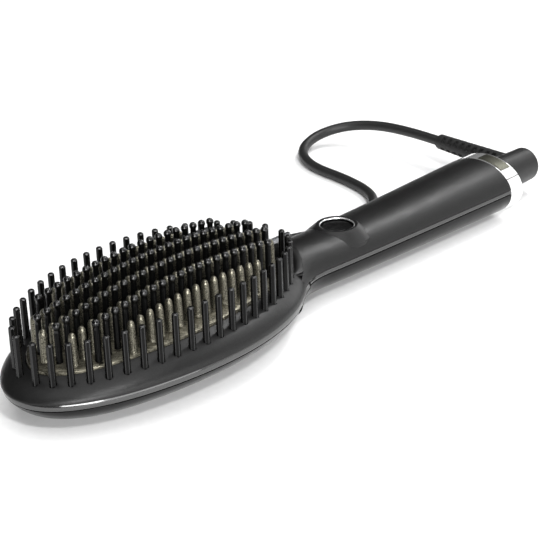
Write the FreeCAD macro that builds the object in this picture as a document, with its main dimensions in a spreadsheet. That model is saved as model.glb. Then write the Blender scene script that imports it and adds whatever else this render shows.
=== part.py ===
import FreeCAD, Part
import Sketcher
import math
import os
import re

# Heated straightening brush lying on its back: X runs from the head to the cord end,
# Y to the cord's side and Z up through the bristles. X = 0 is the middle of the head,
# and Z = 0 is the table that the back of the brush and its put-away cord lie on.

doc = FreeCAD.newDocument("heated_brush")
Vector = FreeCAD.Vector
Rotation = FreeCAD.Rotation
Placement = FreeCAD.Placement

# --- Driving dimensions, millimetres and degrees ---------------------------------------

sheet = doc.addObject("Spreadsheet::Sheet", "Sizes")
known = []


def size(alias, number, note):
    """Write one driving dimension into the sheet under its name."""
    known.append(alias)
    sheet.set(f"A{len(known)}", note)
    sheet.set(f"B{len(known)}", str(number))
    sheet.setAlias(f"B{len(known)}", alias)


# Head: two half ellipses in plan, domed above the parting line and bowled below it
size("head_middle_x", 2, "widest place of the head")
size("head_front_length", 69.8, "head, widest place to its tip")
size("head_rear_length", 65, "head, widest place to its rear")
size("head_half_width", 37.4, "head, half width")
size("dome_rise", 12.3, "dome height above the parting line")
size("dome_front_power", 1.2, "how fast the dome falls to the head's tip")
size("bowl_fullness", 7, "how late the bowl turns up at its ends")
size("bowl_turn", 0.66, "roundness of the bowl's ends")
size("parting_z", 15.7, "parting line height at the middle of the head")
size("parting_drop", 2.7, "fall of the parting line to the head's tip")
size("parting_fall", 1.2, "fall of the parting line to the handle's end")
size("wall", 2.2, "housing wall")
size("wire_way_radius", 3.5, "wire way through the neck, radius")

# Handle: ellipses that widen from the neck to the chrome ring
size("handle_top_z", 24.4, "top of the handle")
size("neck_x", 72, "narrowest place of the neck")
size("neck_half_width", 13.9, "neck, half width")
size("handle_dip", 1.1, "how far the handle's top sags between its ends")
size("neck_bottom_z", 2.8, "underside of the neck")
size("handle_end_x", 191.7, "end of the handle shells")
size("handle_end_half_width", 18.35, "handle, half width at its end")
size("shoulder_reach", 22, "length of the flare from the neck into the head")
size("shoulder_spread", 11.1, "extra half width at the foot of the flare")
size("shoulder_drop", 1.0, "fall of the underside along the flare")
size("shoulder_clear_x", 69.5, "half length of the clear zone round the bristles")
size("shoulder_clear_y", 31, "half width of the clear zone round the bristles")

# Trim band under the parting line
size("head_trim_height", 3.0, "trim band height round the head")
size("handle_trim_height", 2.0, "trim band height along the handle")
size("trim_depth", 1.2, "trim band thickness")
size("trim_split_x", 64, "joint between head trim and handle trims")
size("trim_split_gap", 0.5, "gap at that joint")

# Heated plate and its fingers
size("plate_half_length", 57.5, "heated plate, half length")
size("plate_half_width", 27.5, "heated plate, half width")
size("plate_gap", 0.35, "gap between plate and housing")
size("plate_top_z", 28.9, "crest of the heated plate")
size("plate_skin", 2.5, "plate thickness")
size("plate_wall", 1.8, "plate skirt wall")
size("crown_x", 6, "place of the crest along the head")
size("crown_length_radius", 253, "lengthwise radius of the crown")
size("crown_width_radius", 89, "crosswise radius of the crown")
size("tooth_pitch", 4.4, "spacing of fingers and pins along a row")
size("row_pitch", 5.15, "spacing between rows")
size("row_margin", 3.5, "bare edge of the plate at the ends of a row")
size("finger_height", 11.8, "finger height above the plate")
size("finger_long", 3.3, "finger size across the head")
size("finger_wide", 2.8, "finger size along the head")

# Ball-tipped pins and the guard pins round them
size("pin_tip_z", 43.6, "crest of the inner pins' tips")
size("outer_pin_drop", 0.6, "how much lower the outer pin rows are")
size("pin_diameter", 2.0, "pin shaft diameter")
size("ball_diameter", 2.75, "pin ball tip diameter")
size("pin_hole_clearance", 0.2, "gap round a pin in the plate")
size("guard_half_length", 61.3, "guard pin ellipse, half length")
size("guard_half_width", 31.9, "guard pin ellipse, half width")
size("guard_pitch", 6.4, "spacing of the guard pins along their ellipse")
size("guard_start", 4.45, "first guard pin from the head's axis")
size("guard_diameter", 2.1, "guard pin diameter")
size("guard_tip_z", 37.8, "crest of the guard pins' tips")
size("guard_length_radius", 490, "lengthwise radius of the guard tips")
size("guard_hole_clearance", 0.25, "gap round a guard pin in the housing")
size("frame_z", 11.5, "underside of the bristle strips and frame")
size("frame_height", 2.5, "height of the bristle strips and frame")
size("strip_width", 2.6, "width of a bristle strip")
size("strip_end", 1.3, "bristle strip beyond its last pin")
size("frame_rim", 1.4, "frame beyond the guard pins' ellipse")
size("frame_lap", 1.0, "how far the frame laps under the plate's skirt")
size("rib_thickness", 2.0, "thickness of the bowl's cross ribs")
size("rib_spacing", 24, "spacing of the bowl's cross ribs")

# Heater stack under the plate
size("pad_z", 22, "underside of the plate's heater pad")
size("pad_half_length", 40, "heater pad, half length")
size("pad_half_width", 3.0, "heater pad, half width")
size("heater_half_length", 33, "heater, half length")
size("heater_thickness", 2.2, "heater thickness")
size("mica_thickness", 0.5, "insulating sheet thickness")
size("clamp_thickness", 1.0, "clamp plate thickness")
size("fuse_diameter", 3.6, "thermal fuse diameter")
size("fuse_length", 12, "thermal fuse length")
size("screw_diameter", 2.2, "clamp screw diameter")
size("screw_head_diameter", 4.0, "clamp screw head diameter")

# Power button in its raised round seat
size("button_x", 97.5, "power button, place along the handle")
size("pod_radius", 8.7, "raised seat radius")
size("pod_rise", 0.8, "raised seat above the handle's top")
size("pod_flare", 4.8, "flare round the raised seat")
size("bezel_radius", 7.3, "chrome bezel outer radius")
size("bezel_wall", 0.6, "chrome bezel wall at its foot")
size("bezel_height", 1.9, "chrome bezel height")
size("bezel_sink", 0.15, "bezel's top below the seat's top")
size("bezel_fit", 0.05, "gap round the bezel")
size("button_clearance", 0.1, "running gap round the button")
size("button_sink", 1.2, "button edge below the bezel's top")
size("button_dish", 0.7, "depth of the button's dish")
size("button_travel", 0.6, "button travel")
size("flange_height", 1.0, "button flange height")
size("stem_radius", 2.6, "button stem radius")
size("stem_length", 4.6, "button stem length under its flange")
size("seat_floor", 1.4, "floor of the button's seat")
size("seat_depth", 4.4, "depth of the button's seat")
size("seat_boss_wall", 1.5, "wall of the seat inside the housing")
size("stem_fit", 0.4, "gap round the stem")
size("board_length", 66, "control board length")
size("board_x", 118, "control board, middle")
size("board_width", 18, "control board width")
size("board_thickness", 1.5, "control board thickness")
size("switch_width", 6.0, "tact switch width")
size("switch_height", 3.4, "tact switch height")
size("post_radius", 2.0, "board post radius")

# Chrome ring, badge, collar and cord swivel
size("ring_length", 8.2, "chrome ring length")
size("ring_wall", 2.2, "chrome ring wall")
size("badge_from", 86, "badge start, degrees up from the cord's side")
size("badge_to", 129, "badge end, degrees up from the cord's side")
size("badge_edge", 0.9, "chrome left beside the badge")
size("badge_proud", 0.25, "badge above the ring")
size("collar_radius", 8.3, "collar radius")
size("collar_length", 11.8, "collar length beyond the ring")
size("plug_in_length", 8, "end plug length inside the handle")
size("plug_in_gap", 0.35, "gap round the end plug")
size("swivel_gap", 0.3, "gap between collar and swivel cap")
size("cap_radius", 8.1, "swivel cap radius at the collar")
size("cap_end_radius", 7.75, "swivel cap radius at its end")
size("cap_length", 15.5, "swivel cap length")
size("cap_edge", 0.9, "rounded edge of the cap's end")
size("shaft_radius", 5.0, "swivel shaft radius")
size("shaft_fit", 0.06, "running gap round the swivel shaft")
size("shaft_tail", 14, "swivel shaft beyond the end plug")
size("shaft_bore", 2.4, "wire bore radius in the shaft")
size("clip_radius", 7.4, "retaining clip outer radius")
size("clip_thickness", 1.0, "retaining clip thickness")
size("slip_ring_wall", 0.6, "slip ring wall")
size("slip_ring_width", 2.6, "slip ring width")
size("brush_gap", 0.1, "contact brush above its slip ring")
size("contact_width", 10, "contact block width")

# Strain relief and cord
size("relief_x", 8.9, "strain relief axis from the cap's collar side")
size("relief_lean", 6, "lean of the strain relief away from the handle, degrees")
size("relief_foot", 4.0, "strain relief starts this far from the swivel axis")
size("relief_fit", 0.05, "gap round the strain relief in the cap")
size("relief_length", 49.1, "strain relief end from the swivel axis")
size("relief_base_radius", 4.5, "strain relief radius at the cap")
size("relief_end_radius", 3.6, "strain relief radius at its end")
size("relief_slot_pitch", 4.0, "spacing of the strain relief's slots")
size("relief_slot_width", 1.5, "slot width")
size("relief_slot_span", 3.2, "slot length across")
size("relief_slot_depth", 1.3, "slot depth")
size("cord_diameter", 4.8, "cord diameter")
size("cord_gap", 0.3, "gap between strain relief and cord")
size("hank_x", 40, "put-away hank, middle")
size("hank_near_y", 40.4, "near side of the hank, from the brush's axis")
size("hank_length", 104, "length of the hank's lowest layer")
size("hank_width", 30.7, "width of the hank's lowest layer")
size("hank_step_length", 9, "how much shorter each layer is than the one below")
size("hank_step_width", 6.6, "how much narrower each layer is than the one below")
size("tie_x", 45, "cord tie, middle")
size("tie_width", 9, "cord tie width")
size("tie_thickness", 0.8, "cord tie thickness")
size("plug_x", 89, "plug body, blade side")
size("plug_y", 28, "plug body, middle")
size("plug_length", 25, "plug body length")
size("plug_width", 19, "plug body width")
size("plug_height", 11, "plug body height")
size("plug_corner", 2.5, "plug body edge radius")
size("plug_neck_length", 9, "plug's own strain relief length")
size("blade_length", 16, "plug blade length")
size("blade_height", 6.3, "plug blade height")
size("blade_thickness", 1.5, "plug blade thickness")
size("blade_spacing", 12.7, "spacing of the plug blades")
doc.recompute()


# --- Helpers --------------------------------------------------------------------------


def tie(formula):
    """Turn the size names in a formula into references to the sheet's cells."""
    return re.sub(r"[a-z][a-z_0-9]*", lambda m: f"Sizes.{m[0]}" if m[0] in known else m[0], formula)


def value(formula):
    """Work out a formula of sizes as a plain number."""
    return float(sheet.evalExpression(tie(formula)))


def bind(part, **formulas):
    """Bind an object's properties to formulas of sizes."""
    for name, formula in formulas.items():
        part.setExpression(name, tie(formula))


def place(part, x, y, z):
    """Bind an object's position."""
    for axis, formula in (("x", x), ("y", y), ("z", z)):
        part.setExpression(f"Placement.Base.{axis}", tie(formula))
    return part


def box(name, x, y, z, length, width, height):
    """A block between a low corner and its three sizes."""
    part = doc.addObject("Part::Box", name)
    bind(part, Length=length, Width=width, Height=height)
    return place(part, x, y, z)


def cylinder(name, x, y, z, radius, height, along_x=False):
    """A cylinder that stands on its foot, or lies along X."""
    part = doc.addObject("Part::Cylinder", name)
    bind(part, Radius=radius, Height=height)
    if along_x:
        part.Placement = Placement(Vector(), Rotation(Vector(0, 1, 0), 90))
    return place(part, x, y, z)


def shape(name, solid):
    """An object whose shape comes from a formula or a loop."""
    part = doc.addObject("Part::Feature", name)
    part.Shape = solid
    return part


def section(name, x, half_width, half_height, z):
    """An ellipse across the brush, flat in Y and Z, that starts and ends at its lowest point."""
    middle = Vector(value(x), 0, value(z))
    side = middle + Vector(0, value(half_width), 0)
    top = middle + Vector(0, 0, value(half_height))
    outline = Part.ArcOfEllipse(Part.Ellipse(side, top, middle), -math.pi / 2, 3 * math.pi / 2)
    return shape(name, outline.toShape())


def tip(name, x, z):
    """The point that a form closes on."""
    part = doc.addObject("Part::Vertex", name)
    return place(part, x, "0", z)


def loft(name, sections):
    """A smooth closed form through sections."""
    part = doc.addObject("Part::Loft", name)
    part.Sections = sections
    part.Solid = True
    part.Ruled = False
    part.MaxDegree = 3
    return part


def extrude(name, base, direction, length):
    """A closed prism from a flat outline."""
    part = doc.addObject("Part::Extrusion", name)
    part.Base = base
    part.DirMode = "Custom"
    part.Dir = direction
    part.Solid = True
    bind(part, LengthFwd=length)
    return part


def upright_ellipse(name, half_length, half_width, z, height):
    """An elliptical prism that stands round the middle of the head."""
    outline = doc.addObject("Part::Ellipse", f"{name}_outline")
    bind(outline, MajorRadius=half_length, MinorRadius=half_width)
    place(outline, "0", "0", z)
    return extrude(name, outline, Vector(0, 0, 1), height)


def tube_section(name, x, inset, length):
    """An elliptical prism along X that continues the handle's end, inset from its skin."""
    outline = section(
        f"{name}_outline",
        x,
        f"handle_end_half_width - {inset}",
        f"handle_top_z / 2 - {inset}",
        "handle_top_z / 2",
    )
    return extrude(name, outline, Vector(1, 0, 0), length)


def fuse(name, parts):
    part = doc.addObject("Part::MultiFuse", name)
    part.Shapes = parts
    part.Refine = False
    return part


def common(name, base, tool):
    part = doc.addObject("Part::Common", name)
    part.Base = base
    part.Tool = tool
    part.Refine = False
    return part


def cut(name, base, tool):
    part = doc.addObject("Part::Cut", name)
    part.Base = base
    part.Tool = tool
    part.Refine = False
    return part


def turned(name, corners, upright):
    """Turn a closed profile of (along the axis, radius) corners about Z or X."""
    body = doc.addObject("PartDesign::Body", name)
    role = "XZ_Plane" if upright else "XY_Plane"
    plane = [item for item in body.Origin.OriginFeatures if item.Role == role][0]
    profile = body.newObject("Sketcher::SketchObject", f"{name}_profile")
    profile.AttachmentSupport = [(plane, "")]
    profile.MapMode = "FlatFace"
    formulas = [(radius, along) if upright else (along, radius) for along, radius in corners]
    points = [Vector(value(across), value(up), 0) for across, up in formulas]
    for number, point in enumerate(points):
        profile.addGeometry(Part.LineSegment(point, points[(number + 1) % len(points)]), False)
    for number in range(len(points)):
        profile.addConstraint(Sketcher.Constraint("Coincident", number, 2, (number + 1) % len(points), 1))
    for number, (across, up) in enumerate(formulas):
        for kind, start, formula in (("DistanceX", points[number].x, across), ("DistanceY", points[number].y, up)):
            held = profile.addConstraint(Sketcher.Constraint(kind, -1, 1, number, 1, start))
            profile.setExpression(f"Constraints[{held}]", tie(formula))
    turn = body.newObject("PartDesign::Revolution", f"{name}_turn")
    turn.Profile = profile
    turn.ReferenceAxis = (profile, ["V_Axis" if upright else "H_Axis"])
    turn.Angle = 360
    body.Tip = turn
    return body


def faceted(x, y, levels, sides, turn=0.0):
    """A closed prism of stacked polygons, each level (z, half size in X, half size in Y)."""
    rings = []
    for z, half_x, half_y in levels:
        angles = [math.radians(turn + 360 * number / sides) for number in range(sides)]
        rings.append([Vector(x + half_x * math.cos(a), y + half_y * math.sin(a), z) for a in angles])
    foot = list(reversed(rings[0]))
    faces = [Part.Face(Part.makePolygon(ring + ring[:1])) for ring in (foot, rings[-1])]
    for low, high in zip(rings, rings[1:]):
        for number in range(sides):
            after = (number + 1) % sides
            side = [low[number], low[after], high[after], high[number], low[number]]
            faces.append(Part.Face(Part.makePolygon(side)))
    return Part.makeSolid(Part.makeShell(faces))


# --- Outer forms of the housing ---------------------------------------------------------


def parting(x, rearward):
    """Height of the parting line, curved down to the head's tip and straight to the rear."""
    if rearward:
        return f"(parting_z - parting_fall * ({x}) / handle_end_x)"
    return f"(parting_z - parting_drop * pow(({x}) / (head_front_length - head_middle_x); 2))"


def head_form(name, inset, below):
    """The head's dome, or its bowl, through elliptical sections, inset from its skin."""
    sections = []
    for angle in (-90, -75, -59, -42, -22, 0, 22, 42, 59, 75, 90):
        reach = "head_rear_length" if angle > 0 else "head_front_length"
        x = f"head_middle_x + ({reach} - {inset}) * sin({angle} * 1 deg)"
        z = parting(x, angle >= 0)
        if abs(angle) == 90:
            sections.append(tip(f"{name}_tip_{angle + 90}", x, z))
            continue
        half_width = f"(head_half_width - {inset}) * cos({angle} * 1 deg)"
        if below:
            swing = f"pow(sin({abs(angle)} * 1 deg); bowl_fullness)"
            height = f"({z} - {inset}) * pow(1 - {swing}; bowl_turn)"
        else:
            power = "1" if angle >= 0 else "dome_front_power"
            height = f"(dome_rise - {inset}) * pow(cos({angle} * 1 deg); {power})"
        sections.append(section(f"{name}_section_{angle + 90}", x, half_width, height, z))
    return loft(name, sections)


def handle_form(name, inset, start, end, count):
    """The handle through even elliptical sections; the first ones flare into the head."""
    sections = []
    for number in range(count):
        x = f"({start} + ({end} - {start}) * {number} / {count - 1})"
        flare = f"(max(neck_x - {x}; 0) / shoulder_reach)"
        share = f"(max({x} - neck_x; 0) / (handle_end_x - neck_x))"
        spread = f"shoulder_spread * pow({flare}; 1.6)"
        widening = f"(handle_end_half_width - neck_half_width) * pow({share}; 0.72)"
        top = f"(handle_top_z - handle_dip * 6.75 * {share} * pow(1 - {share}; 2))"
        bottom = f"(neck_bottom_z * (1 - {share}) - shoulder_drop * {flare})"
        half_width = f"neck_half_width + {spread} + {widening} - {inset}"
        half_height = f"({top} - {bottom}) / 2 - {inset}"
        sections.append(section(f"{name}_section_{number}", x, half_width, half_height, f"({top} + {bottom}) / 2"))
    return loft(name, sections)


dome_skin = head_form("dome_skin", "0", below=False)
dome_inside = head_form("dome_inside", "wall", below=False)
bowl_skin = head_form("bowl_skin", "0", below=True)
bowl_inside = head_form("bowl_inside", "wall", below=True)
handle_skin = handle_form("handle_skin", "0", "(neck_x - shoulder_reach)", "handle_end_x", 12)
handle_inside = handle_form("handle_inside", "wall", "(neck_x + 5)", "(handle_end_x + 2)", 9)
wire_way = cylinder("wire_way", "neck_x - 12", "0", "parting_z - 5", "wire_way_radius", "20", along_x=True)


def parting_block(name, drop_head, drop_handle, top):
    """Everything between a line under the parting line and a level top, right through the head."""
    reach = 30.0
    front = value("head_middle_x - head_front_length")
    rear = value("handle_end_x")
    split = value("trim_split_x")

    def line_z(x, rearward):
        return value(parting(str(x), rearward)) - (drop_head if x < split else drop_handle)

    start = front - reach
    joint = [split, split]
    drops = [drop_head, drop_handle]
    curve = Part.Arc(
        Vector(start, 0, line_z(start, False)),
        Vector(start / 2, 0, line_z(start / 2, False)),
        Vector(0, 0, line_z(0, False)),
    )
    corners = [Vector(0, 0, line_z(0, False))]
    corners += [Vector(x, 0, value(parting(str(x), True)) - drop) for x, drop in zip(joint, drops)]
    corners += [Vector(rear + reach, 0, line_z(rear + reach, True))]
    corners += [Vector(rear + reach, 0, top), Vector(start, 0, top), Vector(start, 0, line_z(start, False))]
    if drop_head == drop_handle:
        del corners[2]
    edges = [curve.toShape()]
    edges += [Part.LineSegment(a, b).toShape() for a, b in zip(corners, corners[1:])]
    face = Part.Face(Part.Wire(Part.__sortEdges__(edges)))
    width = 3 * value("head_half_width")
    face.translate(Vector(0, -width / 2, 0))
    return shape(name, face.extrude(Vector(0, width, 0)))


ceiling = value("pin_tip_z + 20")
above_parting = parting_block("above_parting", 0.0, 0.0, ceiling)
above_band = parting_block("above_band", value("head_trim_height"), value("handle_trim_height"), ceiling)

# --- Upper housing ----------------------------------------------------------------------

clear_zone = upright_ellipse("clear_zone", "shoulder_clear_x", "shoulder_clear_y", "0", "pin_tip_z")
handle_above = cut("handle_above", handle_skin, clear_zone)
upper_skin = fuse("upper_skin", [dome_skin, handle_above])

# Raised round seat of the button, flared softly into the handle
POD_TOP = "(handle_top_z - handle_dip + pod_rise)"
pod = turned(
    "button_pod",
    [
        (f"{POD_TOP} - 6", "0"),
        (f"{POD_TOP} - 6", "pod_radius + pod_flare"),
        (f"{POD_TOP} - 4.6", "pod_radius + pod_flare"),
        (f"{POD_TOP} - 2.4", "pod_radius + pod_flare * 0.5"),
        (f"{POD_TOP} - 0.9", "pod_radius + pod_flare * 0.16"),
        (f"{POD_TOP} - 0.25", "pod_radius"),
        (POD_TOP, "pod_radius - 0.3"),
        (POD_TOP, "0"),
    ],
    upright=True,
)
place(pod, "button_x", "0", "0")
upper_outside = fuse("upper_outside", [upper_skin, pod])
upper_solid = common("upper_solid", upper_outside, above_parting)

upper_hollow = fuse("upper_hollow", [dome_inside, handle_inside, wire_way])
upper_shell = cut("upper_shell", upper_solid, upper_hollow)
seat_boss = cylinder(
    "seat_boss",
    "button_x",
    "0",
    f"{POD_TOP} - seat_depth - seat_floor",
    "bezel_radius + seat_boss_wall",
    "seat_depth + seat_floor - 1",
)
boss_inside = common("boss_inside", seat_boss, upper_outside)
upper_with_boss = fuse("upper_with_boss", [upper_shell, boss_inside])
seat_hole = cylinder(
    "seat_hole",
    "button_x",
    "0",
    f"{POD_TOP} - seat_depth",
    "bezel_radius + bezel_fit",
    "seat_depth + 2",
)
stem_hole = cylinder(
    "stem_hole",
    "button_x",
    "0",
    f"{POD_TOP} - seat_depth - seat_floor - 1",
    "stem_radius + stem_fit",
    "seat_floor + 3",
)
plate_hole = upright_ellipse(
    "plate_hole",
    "plate_half_length + plate_gap",
    "plate_half_width + plate_gap",
    "frame_z - 8",
    "40",
)


def guard_places():
    """Even places of the guard pins along their ellipse, none on the head's own axis."""
    half_length = value("guard_half_length")
    half_width = value("guard_half_width")
    steps = 4000
    angles = [math.pi * number / steps for number in range(steps + 1)]
    ring = [Vector(-half_length * math.cos(a), half_width * math.sin(a), 0) for a in angles]
    run = [0.0]
    for before, after in zip(ring, ring[1:]):
        run.append(run[-1] + before.distanceToPoint(after))
    first = value("guard_start")
    gaps = round((run[-1] - 2 * first) / value("guard_pitch"))
    places = []
    number = 0
    for gap in range(gaps + 1):
        target = first + gap * (run[-1] - 2 * first) / gaps
        while run[number] < target:
            number += 1
        places += [ring[number], Vector(ring[number].x, -ring[number].y, 0)]
    return places


guards = guard_places()
guard_low = value("frame_z + frame_height")
guard_hole_half = value("guard_diameter / 2 + guard_hole_clearance") / math.cos(math.pi / 6)
hole_levels = [(guard_low + 0.2, guard_hole_half, guard_hole_half), (ceiling - 10, guard_hole_half, guard_hole_half)]
guard_holes = shape("guard_holes", Part.makeCompound([faceted(p.x, p.y, hole_levels, 6) for p in guards]))
upper_openings = fuse("upper_openings", [plate_hole, seat_hole, stem_hole])
upper_open = cut("upper_open", upper_with_boss, upper_openings)
upper_housing = cut("upper_housing", upper_open, guard_holes)

# --- Lower housing and trim bands -------------------------------------------------------

lower_outside = fuse("lower_outside", [bowl_skin, handle_skin])
below_band = cut("below_band", lower_outside, above_band)
bowl_shell = cut("bowl_shell", below_band, bowl_inside)
handle_shell = cut("handle_shell", bowl_shell, handle_inside)
lower_shell = cut("lower_shell", handle_shell, wire_way)

# Cross ribs carry the bristle strips and their frame, and posts carry the board
SWITCH_TOP = f"({POD_TOP} - bezel_sink - bezel_height - 0.05 - flange_height - stem_length - button_travel - 0.05)"
BOARD_TOP = f"({SWITCH_TOP} - switch_height)"
inner_parts = []
rib_count = 2 * int((value("plate_half_length") / value("rib_spacing")) - 0.5) + 2
for number in range(rib_count):
    middle = f"(rib_spacing * ({number} - {rib_count - 1} / 2))"
    inner_parts.append(
        box(
            f"rib_{number}",
            f"{middle} - rib_thickness / 2",
            "0 - head_half_width",
            "0 - wall",
            "rib_thickness",
            "2 * head_half_width",
            "frame_z + wall",
        )
    )
for end in (-1, 1):
    for side in (-1, 1):
        inner_parts.append(
            cylinder(
                f"post_{end + 1}{side + 1}",
                f"board_x + {end} * (board_length / 2 - 2 * post_radius)",
                f"{side} * (board_width / 2 - 1.5 * post_radius)",
                "0 - wall",
                "post_radius",
                f"{BOARD_TOP} - board_thickness + wall",
            )
        )
inner_block = fuse("inner_block", inner_parts)
inner_fitted = common("inner_fitted", inner_block, below_band)
lower_housing = fuse("lower_housing", [lower_shell, inner_fitted])

doc.recompute()
band_zone = above_band.Shape.cut(above_parting.Shape)
band = lower_outside.Shape.copy().common(band_zone)
core_half = value("neck_half_width - trim_depth")
core_start = value("trim_split_x - 6")
band = band.cut(Part.makeBox(22, 2 * core_half, ceiling, Vector(core_start, -core_half, 0)))


def head_hollow():
    """The upright room inside the head's trim: half an ellipse to the front, half to the rear."""
    middle = Vector(value("head_middle_x"), 0, 0)
    half_width = value("head_half_width - wall")
    halves = []
    for length, turn in (("head_front_length - wall", 0.5), ("head_rear_length - wall", -0.5)):
        oval = Part.Ellipse(middle, value(length), half_width)
        halves.append(Part.ArcOfEllipse(oval, turn * math.pi, (turn + 1) * math.pi).toShape())
    return Part.Face(Part.Wire(halves)).extrude(Vector(0, 0, ceiling))


def band_piece(name, hollow, start, end, low_y, high_y):
    """The stretch of the trim band between two places along the brush, hollowed on its inner side."""
    room = Part.makeBox(end - start, high_y - low_y, ceiling, Vector(start, low_y, 0))
    return shape(name, band.common(room).cut(hollow))


split = value("trim_split_x")
half_gap = value("trim_split_gap / 2")
side_reach = value("2 * head_half_width")
rear_end = value("handle_end_x + 5")
handle_hollow = handle_inside.Shape.copy()
head_trim = band_piece("head_trim", head_hollow(), split - 3 * side_reach, split - half_gap, -side_reach, side_reach)
handle_trim_near = band_piece("handle_trim_near", handle_hollow, split + half_gap, rear_end, -side_reach, 0)
handle_trim_far = band_piece("handle_trim_far", handle_hollow, split + half_gap, rear_end, 0, side_reach)

# --- Heated plate with its fingers -------------------------------------------------------


def crown(name, depth):
    """The doubly curved crown of the plate, as the outside of a lying torus."""
    part = doc.addObject("Part::Torus", name)
    bind(part, Radius1="crown_length_radius - crown_width_radius", Radius2=f"crown_width_radius - {depth}")
    part.Placement = Placement(Vector(), Rotation(Vector(1, 0, 0), 90))
    return place(part, "crown_x", "0", "plate_top_z - crown_length_radius")


def crown_z(x, y):
    """Height of the crown over a point of the plate."""
    along = value("crown_length_radius")
    across = value("crown_width_radius")
    swing = across * math.cos(math.asin(y / across)) + along - across
    return value("plate_top_z") - along + math.sqrt(swing**2 - (x - value("crown_x")) ** 2)


PLATE_FOOT = "(frame_z + frame_height)"
plate_prism = upright_ellipse("plate_prism", "plate_half_length", "plate_half_width", PLATE_FOOT, "30")
plate_blank = common("plate_blank", plate_prism, crown("plate_crown", "0"))
plate_core = upright_ellipse(
    "plate_core",
    "plate_half_length - plate_wall",
    "plate_half_width - plate_wall",
    f"{PLATE_FOOT} - 1",
    "30",
)
plate_under = common("plate_under", plate_core, crown("plate_under_crown", "plate_skin"))
plate_tray = cut("plate_tray", plate_blank, plate_under)
pad_block = box("pad_block", "-pad_half_length", "-pad_half_width", "pad_z", "2 * pad_half_length", "2 * pad_half_width", "10")
pad = common("pad", pad_block, plate_blank)
plate_with_pad = fuse("plate_with_pad", [plate_tray, pad])


def row_places(y, offset):
    """Places along one row, even about the middle, that keep clear of the plate's edge."""
    width_share = 1 - (y / value("plate_half_width")) ** 2
    reach = value("plate_half_length") * math.sqrt(max(width_share, 0)) - value("row_margin")
    pitch = value("tooth_pitch")
    last = math.floor(reach / pitch - offset)
    numbers = range(-last - round(2 * offset), last + 1)
    return [(number + offset) * pitch for number in numbers]


def finger(x, y):
    """One moulded finger: oval foot, slight taper and a rounded end, few facets."""
    top = crown_z(x, y) + value("finger_height")
    foot = crown_z(x, y) - value("plate_skin") * 0.6
    half_x = value("finger_wide / 2")
    half_y = value("finger_long / 2")
    levels = [
        (foot, half_x, half_y),
        (top - 2.4, half_x * 0.86, half_y * 0.86),
        (top, half_x * 0.4, half_y * 0.4),
    ]
    return faceted(x, y, levels, 6)


rows = value("row_pitch")
fingers = []
for row in (0, -2, 2, -4, 4):
    fingers += [finger(x, row * rows) for x in row_places(row * rows, 0)]
finger_field = shape("finger_field", Part.makeCompound(fingers))

# --- Ball-tipped pins on their strips, through holes in the plate --------------------------

pin_low = value(PLATE_FOOT)
pin_half = value("pin_diameter / 2")
ball_half = value("ball_diameter / 2")
pin_crest = value("pin_tip_z")
pin_along = 2 * value("crown_length_radius")


def ball_pin(x, y, drop):
    """One pin: slim shaft, ball tip, its crest on the same lengthwise crown as the plate."""
    top = pin_crest - drop - (x - value("crown_x")) ** 2 / pin_along
    levels = [
        (pin_low, pin_half, pin_half),
        (top - 2.3 * ball_half, pin_half, pin_half),
        (top - 1.3 * ball_half, ball_half, ball_half),
        (top - 0.55 * ball_half, ball_half, ball_half),
        (top, 0.42 * ball_half, 0.42 * ball_half),
    ]
    return faceted(x, y, levels[:3] + levels[4:], 5, 18)


def pin_strip(name, row):
    """One strip with its row of pins."""
    y = row * rows
    places = row_places(y, 0.5)
    end = value("strip_end")
    half = value("strip_width / 2")
    low = value("frame_z")
    length = places[-1] - places[0] + 2 * end
    bar = Part.makeBox(length, 2 * half, pin_low - low, Vector(places[0] - end, y - half, low))
    drop = value("outer_pin_drop") if abs(row) > 1 else 0
    return shape(name, bar.multiFuse([ball_pin(x, y, drop) for x in places]))


pin_strips = [pin_strip(f"pin_strip_{number + 1}", row) for number, row in enumerate((-3, -1, 1, 3))]
pin_hole_half = value("pin_diameter / 2 + pin_hole_clearance") / math.cos(math.pi / 5)
pin_hole_levels = [(pin_low + 1, pin_hole_half, pin_hole_half), (ceiling - 10, pin_hole_half, pin_hole_half)]
pin_holes = []
for row in (-3, -1, 1, 3):
    pin_holes += [faceted(x, row * rows, pin_hole_levels, 5, 18) for x in row_places(row * rows, 0.5)]
plate_pin_holes = shape("plate_pin_holes", Part.makeCompound(pin_holes))
plate_pierced = cut("plate_pierced", plate_with_pad, plate_pin_holes)

# --- Guard pins on their frame --------------------------------------------------------------

frame_outer = upright_ellipse(
    "frame_outer",
    "guard_half_length + frame_rim",
    "guard_half_width + frame_rim",
    "frame_z",
    "frame_height",
)
frame_hole = upright_ellipse(
    "frame_hole",
    "plate_half_length - frame_lap",
    "plate_half_width - frame_lap",
    "frame_z - 1",
    "frame_height + 2",
)
frame_ring = cut("frame_ring", frame_outer, frame_hole)


def guard_pin(place_on_ring):
    """One straight guard pin with a bevelled end."""
    along = place_on_ring.x - value("crown_x")
    top = value("guard_tip_z") - along**2 / (2 * value("guard_length_radius"))
    half = value("guard_diameter / 2")
    levels = [(guard_low - 0.5, half, half), (top - 0.9, half * 0.96, half * 0.96), (top, half * 0.5, half * 0.5)]
    return faceted(place_on_ring.x, place_on_ring.y, levels, 6)


guard_field = shape("guard_field", Part.makeCompound([guard_pin(p) for p in guards]))
guard_pin_frame = fuse("guard_pin_frame", [frame_ring, guard_field])

# --- Heater stack under the plate -------------------------------------------------------------

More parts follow.
